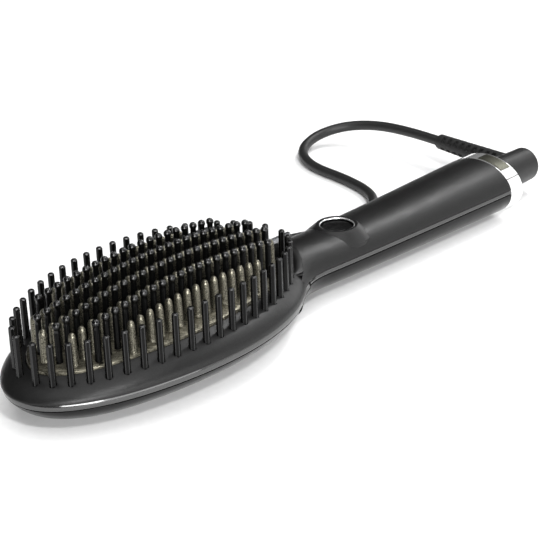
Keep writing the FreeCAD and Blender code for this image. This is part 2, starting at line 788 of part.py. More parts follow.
heater = box(
    "heater_element",
    "-heater_half_length",
    "-pad_half_width + 0.2",
    "pad_z - heater_thickness",
    "2 * heater_half_length",
    "2 * pad_half_width - 0.4",
    "heater_thickness",
)
MICA_Z = "(pad_z - heater_thickness - mica_thickness)"
mica = box(
    "insulation_sheet",
    "-heater_half_length",
    "-pad_half_width",
    MICA_Z,
    "2 * heater_half_length",
    "2 * pad_half_width",
    "mica_thickness",
)
CLAMP_Z = f"({MICA_Z} - clamp_thickness)"
SCREW_X = "(pad_half_length - screw_head_diameter / 2 - 1)"
clamp_blank = box(
    "clamp_blank",
    "-pad_half_length",
    "-pad_half_width",
    CLAMP_Z,
    "2 * pad_half_length",
    "2 * pad_half_width",
    "clamp_thickness",
)
screw_tools = []
screw_parts = []
for side in (-1, 1):
    spacer = "heater_thickness + mica_thickness + clamp_thickness"
    screw_tools.append(
        cylinder(f"screw_bore_{side + 1}", f"{side} * {SCREW_X}", "0", f"{CLAMP_Z} - 1", "screw_diameter / 2", f"{spacer} + 2.8")
    )
    screw_parts.append(
        cylinder(f"screw_shank_{side + 1}", f"{side} * {SCREW_X}", "0", CLAMP_Z, "screw_diameter / 2", f"{spacer} + 1.8")
    )
    screw_parts.append(
        cylinder(
            f"screw_head_{side + 1}",
            f"{side} * {SCREW_X}",
            "0",
            f"{CLAMP_Z} - screw_diameter / 2",
            "screw_head_diameter / 2",
            "screw_diameter / 2",
        )
    )
screw_bores = fuse("screw_bores", screw_tools)
heater_clamp = cut("heater_clamp", clamp_blank, screw_bores)
clamp_screws = fuse("clamp_screws", screw_parts)
plate_drilled = cut("plate_drilled", plate_pierced, screw_bores)
heater_plate = fuse("heater_plate", [plate_drilled, finger_field])
thermal_fuse = cylinder(
    "thermal_fuse",
    "-fuse_length / 2",
    "0",
    f"{CLAMP_Z} - 0.1 - fuse_diameter / 2",
    "fuse_diameter / 2",
    "fuse_length",
    along_x=True,
)

# --- Power button ---------------------------------------------------------------------------

BEZEL_TOP = f"({POD_TOP} - bezel_sink)"
BEZEL_FOOT = f"({BEZEL_TOP} - bezel_height)"
bezel = turned(
    "button_bezel",
    [
        (BEZEL_FOOT, "bezel_radius - bezel_wall"),
        (BEZEL_FOOT, "bezel_radius"),
        (f"{BEZEL_TOP} - 0.15", "bezel_radius"),
        (BEZEL_TOP, "bezel_radius - 0.15"),
        (BEZEL_TOP, "bezel_radius - bezel_wall * 0.5"),
        (f"{BEZEL_TOP} - button_sink", "bezel_radius - bezel_wall"),
    ],
    upright=True,
)
place(bezel, "button_x", "0", "0")
BUTTON_RADIUS = "(bezel_radius - bezel_wall - button_clearance)"
BUTTON_EDGE = f"({BEZEL_TOP} - button_sink)"
FLANGE_TOP = f"({BEZEL_FOOT} - 0.05)"
button = turned(
    "power_button",
    [
        (f"{FLANGE_TOP} - flange_height - stem_length", "0"),
        (f"{FLANGE_TOP} - flange_height - stem_length", "stem_radius"),
        (f"{FLANGE_TOP} - flange_height", "stem_radius"),
        (f"{FLANGE_TOP} - flange_height", "bezel_radius - button_clearance"),
        (FLANGE_TOP, "bezel_radius - button_clearance"),
        (FLANGE_TOP, BUTTON_RADIUS),
        (f"{BUTTON_EDGE} - 0.3", BUTTON_RADIUS),
        (BUTTON_EDGE, f"{BUTTON_RADIUS} - 0.35"),
        (f"{BUTTON_EDGE} - button_dish * 0.35", f"{BUTTON_RADIUS} * 0.78"),
        (f"{BUTTON_EDGE} - button_dish * 0.82", f"{BUTTON_RADIUS} * 0.42"),
        (f"{BUTTON_EDGE} - button_dish", "0"),
    ],
    upright=True,
)
place(button, "button_x", "0", "0")
board = box(
    "control_board",
    "board_x - board_length / 2",
    "-board_width / 2",
    f"{BOARD_TOP} - board_thickness",
    "board_length",
    "board_width",
    "board_thickness",
)
switch = box(
    "tact_switch",
    "button_x - switch_width / 2",
    "-switch_width / 2",
    BOARD_TOP,
    "switch_width",
    "switch_width",
    "switch_height",
)

# --- Chrome ring, badge and end plug ------------------------------------------------------------

AXIS_Z = "(handle_top_z / 2)"
RING_END = "(handle_end_x + ring_length)"
ring_outside = tube_section("ring_outside", "handle_end_x", "0", "ring_length")
ring_hole = tube_section("ring_hole", "handle_end_x - 1", "ring_wall", "ring_length + 2")
chrome_ring = cut("chrome_ring", ring_outside, ring_hole)

badge_outside = tube_section(
    "badge_outside",
    "handle_end_x + badge_edge",
    "(0 - badge_proud)",
    "ring_length - 2 * badge_edge",
)
badge_skin = cut("badge_skin", badge_outside, ring_outside)


def badge_wedge():
    """The part of the ring's round that the badge covers, seen along X."""
    half_width = 1.6 * value("handle_end_half_width")
    half_height = 1.6 * value("handle_top_z / 2")
    start = value("badge_from")
    span = value("badge_to") - start
    angles = [math.radians(start + span * number / 3) for number in range(4)]
    x = value("handle_end_x - 1")
    middle = Vector(x, 0, value(AXIS_Z))
    outline = [middle + Vector(0, half_width * math.cos(a), half_height * math.sin(a)) for a in angles]
    face = Part.Face(Part.makePolygon([middle] + outline + [middle]))
    return face.extrude(Vector(value("ring_length") + 2, 0, 0))


badge_plate = common("badge_plate", badge_skin, shape("badge_zone", badge_wedge()))

plug_in = tube_section(
    "plug_in",
    "handle_end_x - plug_in_length",
    "(wall + plug_in_gap)",
    "plug_in_length + ring_length",
)
collar = cylinder("collar", RING_END, "0", AXIS_Z, "collar_radius", "collar_length", along_x=True)
end_solid = fuse("end_solid", [plug_in, collar])
shaft_hole = cylinder(
    "shaft_hole",
    "handle_end_x - plug_in_length - 1",
    "0",
    AXIS_Z,
    "shaft_radius + shaft_fit",
    "plug_in_length + ring_length + collar_length + 2",
    along_x=True,
)
end_plug = cut("end_plug", end_solid, shaft_hole)

# --- Cord swivel: cap and hollow shaft, slip rings, clip, contact block ----------------------------

CAP_X = f"({RING_END} + collar_length + swivel_gap)"
SHAFT_X = "(handle_end_x - plug_in_length - shaft_tail)"
cap_turned = turned(
    "cap_turned",
    [
        (SHAFT_X, "shaft_bore"),
        (SHAFT_X, "shaft_radius"),
        (CAP_X, "shaft_radius"),
        (CAP_X, "cap_radius"),
        (f"{CAP_X} + cap_length - cap_edge", "cap_end_radius"),
        (f"{CAP_X} + cap_length - 0.3 * cap_edge", "cap_end_radius - 0.3 * cap_edge"),
        (f"{CAP_X} + cap_length", "cap_end_radius - cap_edge"),
        (f"{CAP_X} + cap_length", "0"),
        (f"{CAP_X} + relief_x + shaft_bore", "0"),
        (f"{CAP_X} + relief_x + shaft_bore", "shaft_bore"),
    ],
    upright=False,
)
place(cap_turned, "0", "0", AXIS_Z)
lean = value("relief_lean")
relief_turn = Rotation(Vector(0, 0, 1), -lean) * Rotation(Vector(1, 0, 0), -90)
relief_hole = doc.addObject("Part::Cylinder", "relief_hole")
bind(relief_hole, Radius="relief_base_radius + relief_fit", Height="cap_radius * 2")
relief_hole.Placement = Placement(Vector(), relief_turn)
place(relief_hole, f"{CAP_X} + relief_x", "0", AXIS_Z)
relief_side = box(
    "relief_side",
    CAP_X,
    "relief_foot - 0.6",
    "0",
    "cap_length + 5",
    "cap_radius * 2",
    "handle_top_z",
)
relief_foot_hole = common("relief_foot_hole", relief_hole, relief_side)
swivel_cap = cut("swivel_cap", cap_turned, relief_foot_hole)

CLIP_X = "(handle_end_x - plug_in_length - 0.1 - clip_thickness)"
clip_disc = cylinder("clip_disc", CLIP_X, "0", AXIS_Z, "clip_radius", "clip_thickness", along_x=True)
clip_hole = cylinder("clip_hole", f"{CLIP_X} - 1", "0", AXIS_Z, "shaft_radius", "clip_thickness + 2", along_x=True)
retaining_clip = cut("retaining_clip", clip_disc, clip_hole)

slip_outsides = []
brush_bars = []
for number in range(2):
    x = f"({SHAFT_X} + 1 + {number} * (slip_ring_width + 1.4))"
    slip_outsides.append(
        cylinder(f"slip_outside_{number}", x, "0", AXIS_Z, "shaft_radius + slip_ring_wall", "slip_ring_width", along_x=True)
    )
    brush_bars.append(
        box(
            f"brush_bar_{number}",
            f"{x} + 0.4",
            "-contact_width / 2",
            "0",
            "slip_ring_width - 0.8",
            "contact_width",
            f"{AXIS_Z} - shaft_radius - slip_ring_wall - brush_gap",
        )
    )
slip_blank = fuse("slip_blank", slip_outsides)
slip_bore = cylinder("slip_bore", f"{SHAFT_X} - 1", "0", AXIS_Z, "shaft_radius", "shaft_tail", along_x=True)
slip_rings = cut("slip_rings", slip_blank, slip_bore)
contact_base = box(
    "contact_base",
    f"{SHAFT_X} - 0.5",
    "-contact_width / 2",
    "0",
    "2 * slip_ring_width + 4.4",
    "contact_width",
    f"{AXIS_Z} - shaft_radius - slip_ring_wall - 1.6",
)
contact_solid = fuse("contact_solid", [contact_base] + brush_bars)
contact_block = common("contact_block", contact_solid, handle_inside)


def slotted_relief():
    """A tapering strain relief with a ladder of slots on four sides, along its own axis."""
    start = value("relief_foot")
    end = value("relief_length")
    sleeve = Part.makeCone(
        value("relief_base_radius"),
        value("relief_end_radius"),
        end - start,
        Vector(0, 0, start),
    )
    slots = []
    pitch = value("relief_slot_pitch")
    first = value("cap_radius + relief_slot_pitch")
    count = int((end - first - pitch / 2) / pitch)
    depth = value("relief_slot_depth")
    span = value("relief_slot_span")
    width = value("relief_slot_width")
    for side in range(4):
        for number in range(count):
            low = first + (number + 0.5 * (side % 2)) * pitch
            radius = value("relief_base_radius") + (value("relief_end_radius - relief_base_radius")) * (low - start) / (end - start)
            slot = Part.makeBox(depth + 2, span, width, Vector(radius - depth, -span / 2, low))
            slot.rotate(Vector(0, 0, 0), Vector(0, 0, 1), 90 * side)
            slots.append(slot)
    return sleeve.cut(Part.makeCompound(slots))


strain_relief = shape("strain_relief", slotted_relief())
strain_relief.Placement = Placement(Vector(value(f"{CAP_X} + relief_x"), 0, value(AXIS_Z)), relief_turn)

# --- Cord, its put-away hank, tie, tail and plug ---------------------------------------------------


def tube(points, radius):
    """A round cord along straight runs joined by the largest arcs that they leave room for."""
    points = [Vector(*point) for point in points]
    runs = [a.distanceToPoint(b) for a, b in zip(points, points[1:])]
    edges = []
    last = points[0]
    length = 0.0
    for before, corner, after, run_in, run_out in zip(points, points[1:], points[2:], runs, runs[1:]):
        arrive = (corner - before).normalize()
        leave = (after - corner).normalize()
        half_turn = arrive.getAngle(leave) / 2
        trim = 0.45 * min(run_in, run_out)
        bend = trim / math.tan(half_turn)
        start = corner - arrive * trim
        end = corner + leave * trim
        inward = (leave - arrive).normalize()
        middle = corner + inward * (bend / math.cos(half_turn) - bend)
        edges += [Part.LineSegment(last, start).toShape(), Part.Arc(start, middle, end).toShape()]
        length += last.distanceToPoint(start) + 2 * half_turn * bend
        last = end
        print(f"cord bend radius {bend:.1f} mm, turn {math.degrees(2 * half_turn):.0f} degrees")
    edges.append(Part.LineSegment(last, points[-1]).toShape())
    length += last.distanceToPoint(points[-1])
    path = Part.Wire(edges)
    circle = Part.Wire(Part.makeCircle(radius, points[0], points[1] - points[0]))
    solid = path.makePipeShell([circle], True, False)
    print(f"cord run {length:.1f} mm, volume share {solid.Volume / (math.pi * radius**2 * length):.4f}")
    return solid


CORD_POINTS = [
    (226.06, 49.13, 12.2),
    (228.99, 76.98, 12.2),
    (224.5, 103.0, 9.5),
    (209.0, 113.5, 6.0),
    (191.0, 108.5, 3.2),
    (180.5, 91.0, 2.4),
    (178.5, 66.0, 2.4),
    (172.0, 44.0, 2.4),
    (155.0, 30.5, 2.4),
    (133.0, 27.5, 2.4),
    (114.0, 36.5, 2.4),
    (102.0, 41.2, 2.4),
    (88.8, 42.9, 2.4),
]
TAIL_POINTS = [
    (54.7, 28.0, 5.5),
    (45.6, 29.0, 4.2),
    (37.8, 33.3, 2.8),
    (33.2, 38.7, 2.4),
]
cord = shape("cord", tube(CORD_POINTS, value("cord_diameter / 2")))
cord_tail = shape("cord_tail", tube(TAIL_POINTS, value("cord_diameter / 2")))

HANK_LAYERS = 3
hank_layers = []
for number in range(HANK_LAYERS):
    length = f"(hank_length - {number} * hank_step_length)"
    width = f"(hank_width - {number} * hank_step_width)"
    middle_y = f"(hank_near_y + {width} / 2)"
    low = f"({number} * cord_diameter)"
    hank_layers.append(
        box(
            f"hank_bar_{number}",
            f"hank_x - {length} / 2 + {width} / 2",
            "hank_near_y",
            low,
            f"{length} - {width}",
            width,
            "cord_diameter",
        )
    )
    for side in (-1, 1):
        end_x = f"hank_x + {side} * ({length} - {width}) / 2"
        hank_layers.append(
            cylinder(f"hank_end_{number}_{side + 1}", end_x, middle_y, low, f"{width} / 2", "cord_diameter")
        )
hank_blank = fuse("hank_blank", hank_layers)


def tie_prism(proud, foot):
    """The loop of the tie round the hank, seen along the brush, this far outside the cord."""
    near = value("hank_near_y") - proud
    crest = value("cord_diameter") * HANK_LAYERS + proud
    shelf = value("cord_diameter") + proud / 2
    far = value("hank_near_y + hank_width") + proud
    crest_far = value("hank_near_y + hank_width - hank_step_width") - value("hank_step_width") + proud / 2
    corners = [(near, foot), (near, crest), (crest_far, crest), (far, shelf), (far, foot), (near, foot)]
    x = value("tie_x - tie_width / 2")
    face = Part.Face(Part.makePolygon([Vector(x, y, z) for y, z in corners]))
    return face.extrude(Vector(value("tie_width"), 0, 0))


tie_wall = value("tie_thickness")
cord_tie = shape("cord_tie", tie_prism(tie_wall, 0).cut(tie_prism(0, tie_wall)))
cord_hank = cut("cord_hank", hank_blank, cord_tie)

plug_block = box(
    "plug_block",
    "plug_x - plug_length",
    "plug_y - plug_width / 2",
    "0",
    "plug_length",
    "plug_width",
    "plug_height",
)
plug_round = doc.addObject("Part::Fillet", "plug_round")
plug_round.Base = plug_block
doc.recompute()
plug_edges = []
for number, edge in enumerate(plug_block.Shape.Edges, 1):
    spread = edge.BoundBox
    if spread.ZLength > 1 or (spread.YLength > 1 and edge.CenterOfMass.z > 1):
        plug_edges.append((number, value("plug_corner"), value("plug_corner")))
plug_round.Edges = plug_edges
plug_neck = doc.addObject("Part::Cone", "plug_neck")
bind(plug_neck, Radius1="cord_diameter / 2 + 0.6", Radius2="plug_height / 2 - 1", Height="plug_neck_length + 1")
plug_neck.Placement = Placement(Vector(), Rotation(Vector(0, 1, 0), 90))
place(plug_neck, "plug_x - plug_length - plug_neck_length", "plug_y", "plug_height / 2")
plug_body = fuse("plug_body", [plug_round, plug_neck])
blades = [
    box(
        f"blade_{side + 1}",
        "plug_x",
        f"plug_y + {side} * blade_spacing / 2 - blade_thickness / 2",
        "plug_height / 2 - blade_height / 2",
        "blade_length",
        "blade_thickness",
        "blade_height",
    )
    for side in (-1, 1)
]
plug_blades = fuse("plug_blades", blades)

# --- Check and write -------------------------------------------------------------------------------

doc.recompute()

nodes = {
    "upper_housing": upper_housing,
    "lower_housing": lower_housing,
    "head_trim": head_trim,
    "handle_trim_near": handle_trim_near,
    "handle_trim_far": handle_trim_far,
    "heater_plate": heater_plate,
    "pin_strip_1": pin_strips[0],
    "pin_strip_2": pin_strips[1],
    "pin_strip_3": pin_strips[2],
    "pin_strip_4": pin_strips[3],
    "guard_pin_frame": guard_pin_frame,
    "heater_element": heater,
    "insulation_sheet": mica,
    "heater_clamp": heater_clamp,
    "clamp_screws": clamp_screws,
    "thermal_fuse": thermal_fuse,
    "button_bezel": bezel,
    "power_button": button,
    "control_board": board,
    "tact_switch": switch,
    "chrome_ring": chrome_ring,
    "badge_plate": badge_plate,
    "end_plug": end_plug,
    "contact_block": contact_block,
    "swivel_cap": swivel_cap,
    "slip_rings": slip_rings,
    "retaining_clip": retaining_clip,
    "strain_relief": strain_relief,
    "cord": cord,
    "cord_hank": cord_hank,
    "cord_tie": cord_tie,
    "cord_tail": cord_tail,
    "plug_body": plug_body,
    "plug_blades": plug_blades,
}

for item in doc.Objects:
    if "Invalid" in item.State or "Error" in item.State:
        raise RuntimeError(f"{item.Name} failed: {item.State}")

# The origin lies under the middle of the brush's own length
nose = value("head_middle_x - head_front_length")
cap_end = value(f"{CAP_X} + cap_length")
middle = Vector((nose + cap_end) / 2, 0, 0)

os.makedirs("parts", exist_ok=True)
for label, part in nodes.items():
    part.Label = label
    if part.Shape.isNull() or not part.Shape.isValid():
        raise RuntimeError(f"{label} has no valid shape")
    placed = part.Shape.copy()
    placed.translate(-middle)
    placed.exportStep(f"parts/{label}.step")
    print(label, len(placed.Solids), "solids", round(placed.Volume), "mm3")
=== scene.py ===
# %% [markdown]
# # A heated hair brush, dressed for its picture
# The solids of this brush come from a CAD model and are packed as a frame that never moves.
# This lesson loads them, gives each one its real finish, and builds the parts whose small
# shapes the solids only hint at: bristles, plate, trim bands and the wound cord.
# Sizes on the drawing are millimetres and Blender works in metres, so one helper converts
# a place on the drawing to a place in the frame, and one converts it back.

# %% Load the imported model
import math
import bpy
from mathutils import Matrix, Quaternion, Vector
from mathutils.bvhtree import BVHTree
from mathutils.geometry import delaunay_2d_cdt


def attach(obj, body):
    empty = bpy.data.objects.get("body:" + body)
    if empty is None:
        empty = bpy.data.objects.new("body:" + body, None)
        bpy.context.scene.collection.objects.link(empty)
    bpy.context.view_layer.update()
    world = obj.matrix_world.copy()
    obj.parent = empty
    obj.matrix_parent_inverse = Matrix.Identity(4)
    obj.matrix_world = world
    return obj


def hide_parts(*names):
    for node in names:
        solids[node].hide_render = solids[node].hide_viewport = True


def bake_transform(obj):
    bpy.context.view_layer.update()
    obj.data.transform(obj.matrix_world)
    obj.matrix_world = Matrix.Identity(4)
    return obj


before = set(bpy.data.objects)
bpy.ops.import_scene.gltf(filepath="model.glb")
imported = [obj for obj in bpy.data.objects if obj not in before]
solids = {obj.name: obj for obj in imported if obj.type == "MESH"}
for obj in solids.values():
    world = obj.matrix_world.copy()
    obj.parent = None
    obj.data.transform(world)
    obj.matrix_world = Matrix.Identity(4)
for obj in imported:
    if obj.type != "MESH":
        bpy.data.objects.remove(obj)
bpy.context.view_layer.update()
MM = 0.001
DRAWING_MIDDLE = 79.85  # the drawing measures from the head, the frame from the middle


def at(x, y, z):
    """A place on the drawing, in millimetres, as a place in the frame, in metres."""
    return Vector(((x - DRAWING_MIDDLE) * MM, y * MM, z * MM))


def on_drawing(place):
    """A place in the frame, in metres, as a place on the drawing, in millimetres."""
    return place.x / MM + DRAWING_MIDDLE, place.y / MM, place.z / MM


# %% [markdown]
# ## Camera
# The picture is taken from the front left of the head, about 24 degrees above the table.
# A long lens from far away keeps the brush's proportions, as a product photographer does.
# The camera is turned to look along one direction and then rolled a little about it.

# %% Camera
azimuth, elevation, roll = (math.radians(a) for a in (45.2273, 24.4756, -1.9429))
level = math.cos(elevation)
sight = Vector((math.sin(azimuth) * level, math.cos(azimuth) * level, -math.sin(elevation)))
camera = bpy.data.objects.new("camera", bpy.data.cameras.new("camera"))
bpy.context.scene.collection.objects.link(camera)
camera.data.lens = 105.09
camera.data.sensor_width = 36
camera.data.clip_start, camera.data.clip_end = 0.05, 20
camera.location = (-0.41903, -0.39422, 0.27209)
camera.rotation_mode = "QUATERNION"
camera.rotation_quaternion = sight.to_track_quat("-Z", "Y") @ Quaternion((0, 0, 1), roll)
bpy.context.scene.camera = camera
print("camera looks along", [round(v, 3) for v in sight])

# %% [markdown]
# ## Mesh helpers
# Every built piece is a list of corner points and faces. Nearly all of them are stacks of
# closed rings with a skin round them: posts, balls and bristles have level rings, and the
# cord has rings square to its path. One helper skins any number of such stacks as one mesh.
# Faces meeting at more than a set angle keep a crisp edge and all others shade smoothly.


# %% Mesh helpers
def mesh_piece(name, points, faces, body="body", crease=35):
    """A piece from points in metres, smooth but for edges sharper than the crease."""
    mesh = bpy.data.meshes.new(name)
    mesh.from_pydata(points, [], faces)
    mesh.validate()
    mesh.shade_smooth()
    mesh.set_sharp_from_angle(angle=math.radians(crease))
    made = bpy.data.objects.new(name, mesh)
    bpy.context.scene.collection.objects.link(made)
    if body:
        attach(made, body)
    return made


def skinned(stacks):
    """Points and faces of several stacks of closed rings, each closed at both ends."""
    points, faces = [], []
    for rings in stacks:
        first, count = len(points), len(rings[0])
        for ring in rings:
            points.extend(ring)
        for step in range(len(rings) - 1):
            low = first + step * count
            for k in range(count):
                n = (k + 1) % count
                faces.append((low + k, low + n, low + count + n, low + count + k))
        faces.append(tuple(range(first + count - 1, first - 1, -1)))
        faces.append(tuple(range(len(points) - count, len(points))))
    return points, faces


def oval(x, y, z, half_x, half_y, sides):
    """One level ring on the drawing."""
    angles = [2 * math.pi * k / sides for k in range(sides)]
    return [at(x + half_x * math.cos(a), y + half_y * math.sin(a), z) for a in angles]


def bar_rings(low_x, high_x, low_y, high_y, low_z, high_z):
    """A plain bar as a stack of two rings."""
    corners = ((low_x, low_y), (high_x, low_y), (high_x, high_y), (low_x, high_y))
    return [[at(x, y, z) for x, y in corners] for z in (low_z, high_z)]


def tube_rings(path, radius, sides):
    """Rings square to a path, each turned as little as possible from the one before."""
    angles = [2 * math.pi * n / sides for n in range(sides)]
    rings = []
    across = None
    for k, middle in enumerate(path):
        ahead = path[min(k + 1, len(path) - 1)] - path[max(k - 1, 0)]
        ahead.normalize()
        if across is None:
            across = ahead.orthogonal().normalized()
        across = (across - ahead * across.dot(ahead)).normalized()
        up = ahead.cross(across)
        rings.append([middle + (across * math.cos(a) + up * math.sin(a)) * radius for a in angles])
    return rings


# %% [markdown]
# ## The cord
# A rubber-sheathed mains cord, 4.8 mm thick and about 1.45 m long, leaves the strain relief,
# swings round behind the handle and ends in a tied hank with its plug. A cord is one smooth
# line, so it is drawn as one NURBS curve. A few listed points make the loose loop
# and the tail to the plug. The hank's turns repeat, so a loop works out their points: each
# turn has two straight runs and two folds, and it hands over to the next turn in a fold.

# %% The cord's route
CORD = 4.8
loop_points = [
    (226.06, 49.13, 12.2),
    (228.99, 76.98, 12.2),
    (224.5, 103, 9.5),
    (209, 113.5, 6),
    (191, 108.5, 3.2),
    (180.5, 91, 2.4),
    (178.5, 66, 2.4),
    (172, 44, 2.4),
    (155, 30.5, 2.4),
    (133, 27.5, 2.4),
    (114, 36.5, 2.4),
    (102, 41.2, 2.4),
    (89, 42.8, 2.4),
]
tail_points = [
    (52, 42.8, 12.0),
    (38, 42.4, 12.2),
    (31, 40.5, 11.2),
    (28.3, 36.5, 7.2),
    (30.8, 32.2, 4.2),
    (37.5, 29.6, 3.2),
    (46, 28.4, 4.4),
    (54.7, 28, 5.5),
]
HANK_X, HANK_NEAR = 40.0, 40.4  # middle of the hank's length, and its side near the brush
RUN_SHARE = 0.55  # how far out along a straight run its two points stand
FOLD_POINTS = 5
# each layer has a length, a width, and for each of its turns the distance from its middle
layers = [(104, 30.7, (12.95, 8.15, 3.35)), (95, 24.1, (4.8, 9.6)), (86, 17.5, (6.35,))]
turns = []
for number, (length, width, lanes) in enumerate(layers):
    for lane in lanes:
        turns.append((CORD * (number + 0.5), HANK_NEAR + width / 2, (length - width) / 2, lane))


def fold(end, before, after):
    """Points round one end of the hank, easing from one turn's lane to the next one's."""
    places = []
    for k in range(FOLD_POINTS):
        share = (k + 0.5) / FOLD_POINTS
        height, middle, reach, lane = (b + (a - b) * share for b, a in zip(before, after))
        swing = lane / math.cos(math.pi / (2 * FOLD_POINTS))
        x = HANK_X + end * (reach + swing * math.sin(math.pi * share))
        places.append((x, middle + end * swing * math.cos(math.pi * share), height))
    return places


hank_points = []
for number, turn in enumerate(turns):
    following = turns[min(number + 1, len(turns) - 1)]
    height, middle, reach, lane = turn
    run = reach * RUN_SHARE
    hank_points += [(HANK_X + run, middle - lane, height), (HANK_X - run, middle - lane, height)]
    hank_points += fold(-1, turn, turn)
    hank_points += [(HANK_X - run, middle + lane, height), (HANK_X + run, middle + lane, height)]
    hank_points += fold(1, turn, following)
route = loop_points + hank_points + tail_points
print("cord route of", len(route), "points, with", len(turns), "turns in the hank")

# %% [markdown]
# ## The cord's tube
# Blender can give a curve a round bevel, but a curve can't bend between two bodies. So the
# curve is read as a plain line and a tube is skinned along that line's own points.

# %% The cord's tube
CORD_SIDES = 12
line = bpy.data.curves.new("cord_line", "CURVE")
line.dimensions = "3D"
line.resolution_u = 6
spline = line.splines.new("NURBS")
spline.points.add(len(route) - 1)
for point, place in zip(spline.points, route):
    point.co = (*at(*place), 1)
spline.order_u = 3
spline.use_endpoint_u = True
line_object = bpy.data.objects.new("cord_line", line)
line_mesh = bpy.data.meshes.new_from_object(line_object)
cord_path = [v.co.copy() for v in line_mesh.vertices]
bpy.data.meshes.remove(line_mesh)
bpy.data.objects.remove(line_object)
cord_skin = skinned([tube_rings(cord_path, CORD / 2 * MM, CORD_SIDES)])
cord = mesh_piece("cord_sheathed", *cord_skin, body=None, crease=60)
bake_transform(cord)
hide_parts("cord", "cord_hank", "cord_tail")
cord_length = sum((b - a).length for a, b in zip(cord_path, cord_path[1:]))
print("cord is", round(cord_length, 3), "m long")

# %% [markdown]
# ## Floor and light
# A studio shot on a plain pale sweep. The floor is one large sheet, and the light comes from
# big soft panels, because black plastic shows its form only through what it mirrors. One
# large panel hangs overhead, three stand off the handle's end for the chrome, and a low
# strip lies in front to draw a bright line along the glossy band. A fill panel by the camera
# lightens the shade under the rim of the head, and two small lamps put the sparkle on the
# ball tips. The sky stays nearly dark, which is what keeps the top of the handle black.

# %% Floor and light
FLOOR = 4.0
corners = [(-FLOOR, -FLOOR, 0), (FLOOR, -FLOOR, 0), (FLOOR, FLOOR, 0), (-FLOOR, FLOOR, 0)]
floor_mesh = bpy.data.meshes.new("floor")
floor_mesh.from_pydata(corners, [], [(0, 1, 2, 3)])
floor = bpy.data.objects.new("floor", floor_mesh)
bpy.context.scene.collection.objects.link(floor)


def soft_panel(name, place, target, width, height, power):
    """A rectangular soft light that faces a target."""
    lamp = bpy.data.lights.new(name, "AREA")
    lamp.shape = "RECTANGLE"
    lamp.size, lamp.size_y, lamp.energy = width, height, power
    holder = bpy.data.objects.new(name, lamp)
    holder.location = place
    holder.rotation_euler = (Vector(target) - Vector(place)).to_track_quat("-Z", "Y").to_euler()
    holder.visible_camera = False
    bpy.context.scene.collection.objects.link(holder)


table, brush = (0, 0, 0), (0, 0, 0.02)
soft_panel("panel_top", (-0.1, -0.1, 1.7), table, 1.9, 1.9, 23)
soft_panel("panel_right", (0.95, -0.35, 1.0), brush, 1.3, 0.7, 5)
soft_panel("panel_corner", (0.85, -0.95, 0.36), brush, 1.0, 0.7, 2.8)
soft_panel("panel_end", (1.3, 0.1, 0.36), brush, 0.8, 0.5, 3)
soft_panel("lamp_left", (-0.45, -0.8, 0.95), brush, 0.14, 0.14, 7)
soft_panel("lamp_right", (0.8, 0.05, 0.95), brush, 0.14, 0.14, 4)
soft_panel("panel_low", (-0.25, -1.2, 0.28), brush, 1.5, 0.42, 7)
soft_panel("panel_fill", (-1.1, -1.1, 0.5), table, 0.9, 0.5, 22)
world = bpy.data.worlds.new("studio")
world.use_nodes = True
sky = world.node_tree.nodes["Background"]
sky.inputs["Color"].default_value = (1, 1, 1, 1)
sky.inputs["Strength"].default_value = 0.05
bpy.context.scene.world = world
bpy.context.scene.view_settings.view_transform = "Standard"
print("six panels, two lamps and a dim sky")

# %% [markdown]
# ## How a finish is made
# Each finish is one shader with plain settings, plus a few noise nodes that vary its colour,
# its gloss and its surface. The noise is measured in the piece's own space, so a grain of
# 0.2 mm stays 0.2 mm, and stays put when the piece moves. Noise seldom strays far from its
# middle, so only the part of it that does vary is stretched over the wanted range.

# %% Finish helpers
NOISE_LOW, NOISE_HIGH = 0.3, 0.7
BEVEL_SAMPLES = 4


def new_finish(name, colour, metallic, roughness, **others):
    """A material with its shader's plain settings; other sockets are named with underscores."""
    finish = bpy.data.materials.new(name)
    finish.use_nodes = True
    shader = finish.node_tree.nodes["Principled BSDF"]
    shader.inputs["Base Color"].default_value = (*colour, 1)
    shader.inputs["Metallic"].default_value = metallic
    shader.inputs["Roughness"].default_value = roughness
    for socket, amount in others.items():
        shader.inputs[socket.replace("_", " ")].default_value = amount
    return finish


def add_node(finish, kind, settings, **feeds):
    """One node with its numbers set and its inputs fed from other nodes' outputs."""
    made = finish.node_tree.nodes.new("ShaderNode" + kind)
    for key, amount in settings.items():
        if key in made.inputs:
            made.inputs[key].default_value = amount
        else:
            setattr(made, key, amount)
    for key, source in feeds.items():
        finish.node_tree.links.new(source, made.inputs[key])
    return made


def grain(finish, size, detail=2.0, stretch=(1, 1, 1), turn=0.0):
    """Even noise whose grains are about this many millimetres, drawn out by the stretch."""
    place = add_node(finish, "TexCoord", {}).outputs["Object"]
    spun = add_node(finish, "Mapping", {"Rotation": (0, 0, turn)}, Vector=place).outputs[0]
    drawn = add_node(finish, "Mapping", {"Scale": stretch}, Vector=spun).outputs[0]
    noise = {"Scale": 1 / (size * MM), "Detail": detail}
    return add_node(finish, "TexNoise", noise, Vector=drawn).outputs[0]


def to_shader(finish, socket, source):
    """Feeds one socket of the finish's shader."""
    finish.node_tree.links.new(source, finish.node_tree.nodes["Principled BSDF"].inputs[socket])


def handling(finish, source, low, high):
    """A roughness that wanders between two values with the source, as handled surfaces do."""
    span = {"From Min": NOISE_LOW, "From Max": NOISE_HIGH, "To Min": low, "To Max": high}
    spread = add_node(finish, "MapRange", span, Value=source)
    to_shader(finish, "Roughness", spread.outputs["Result"])


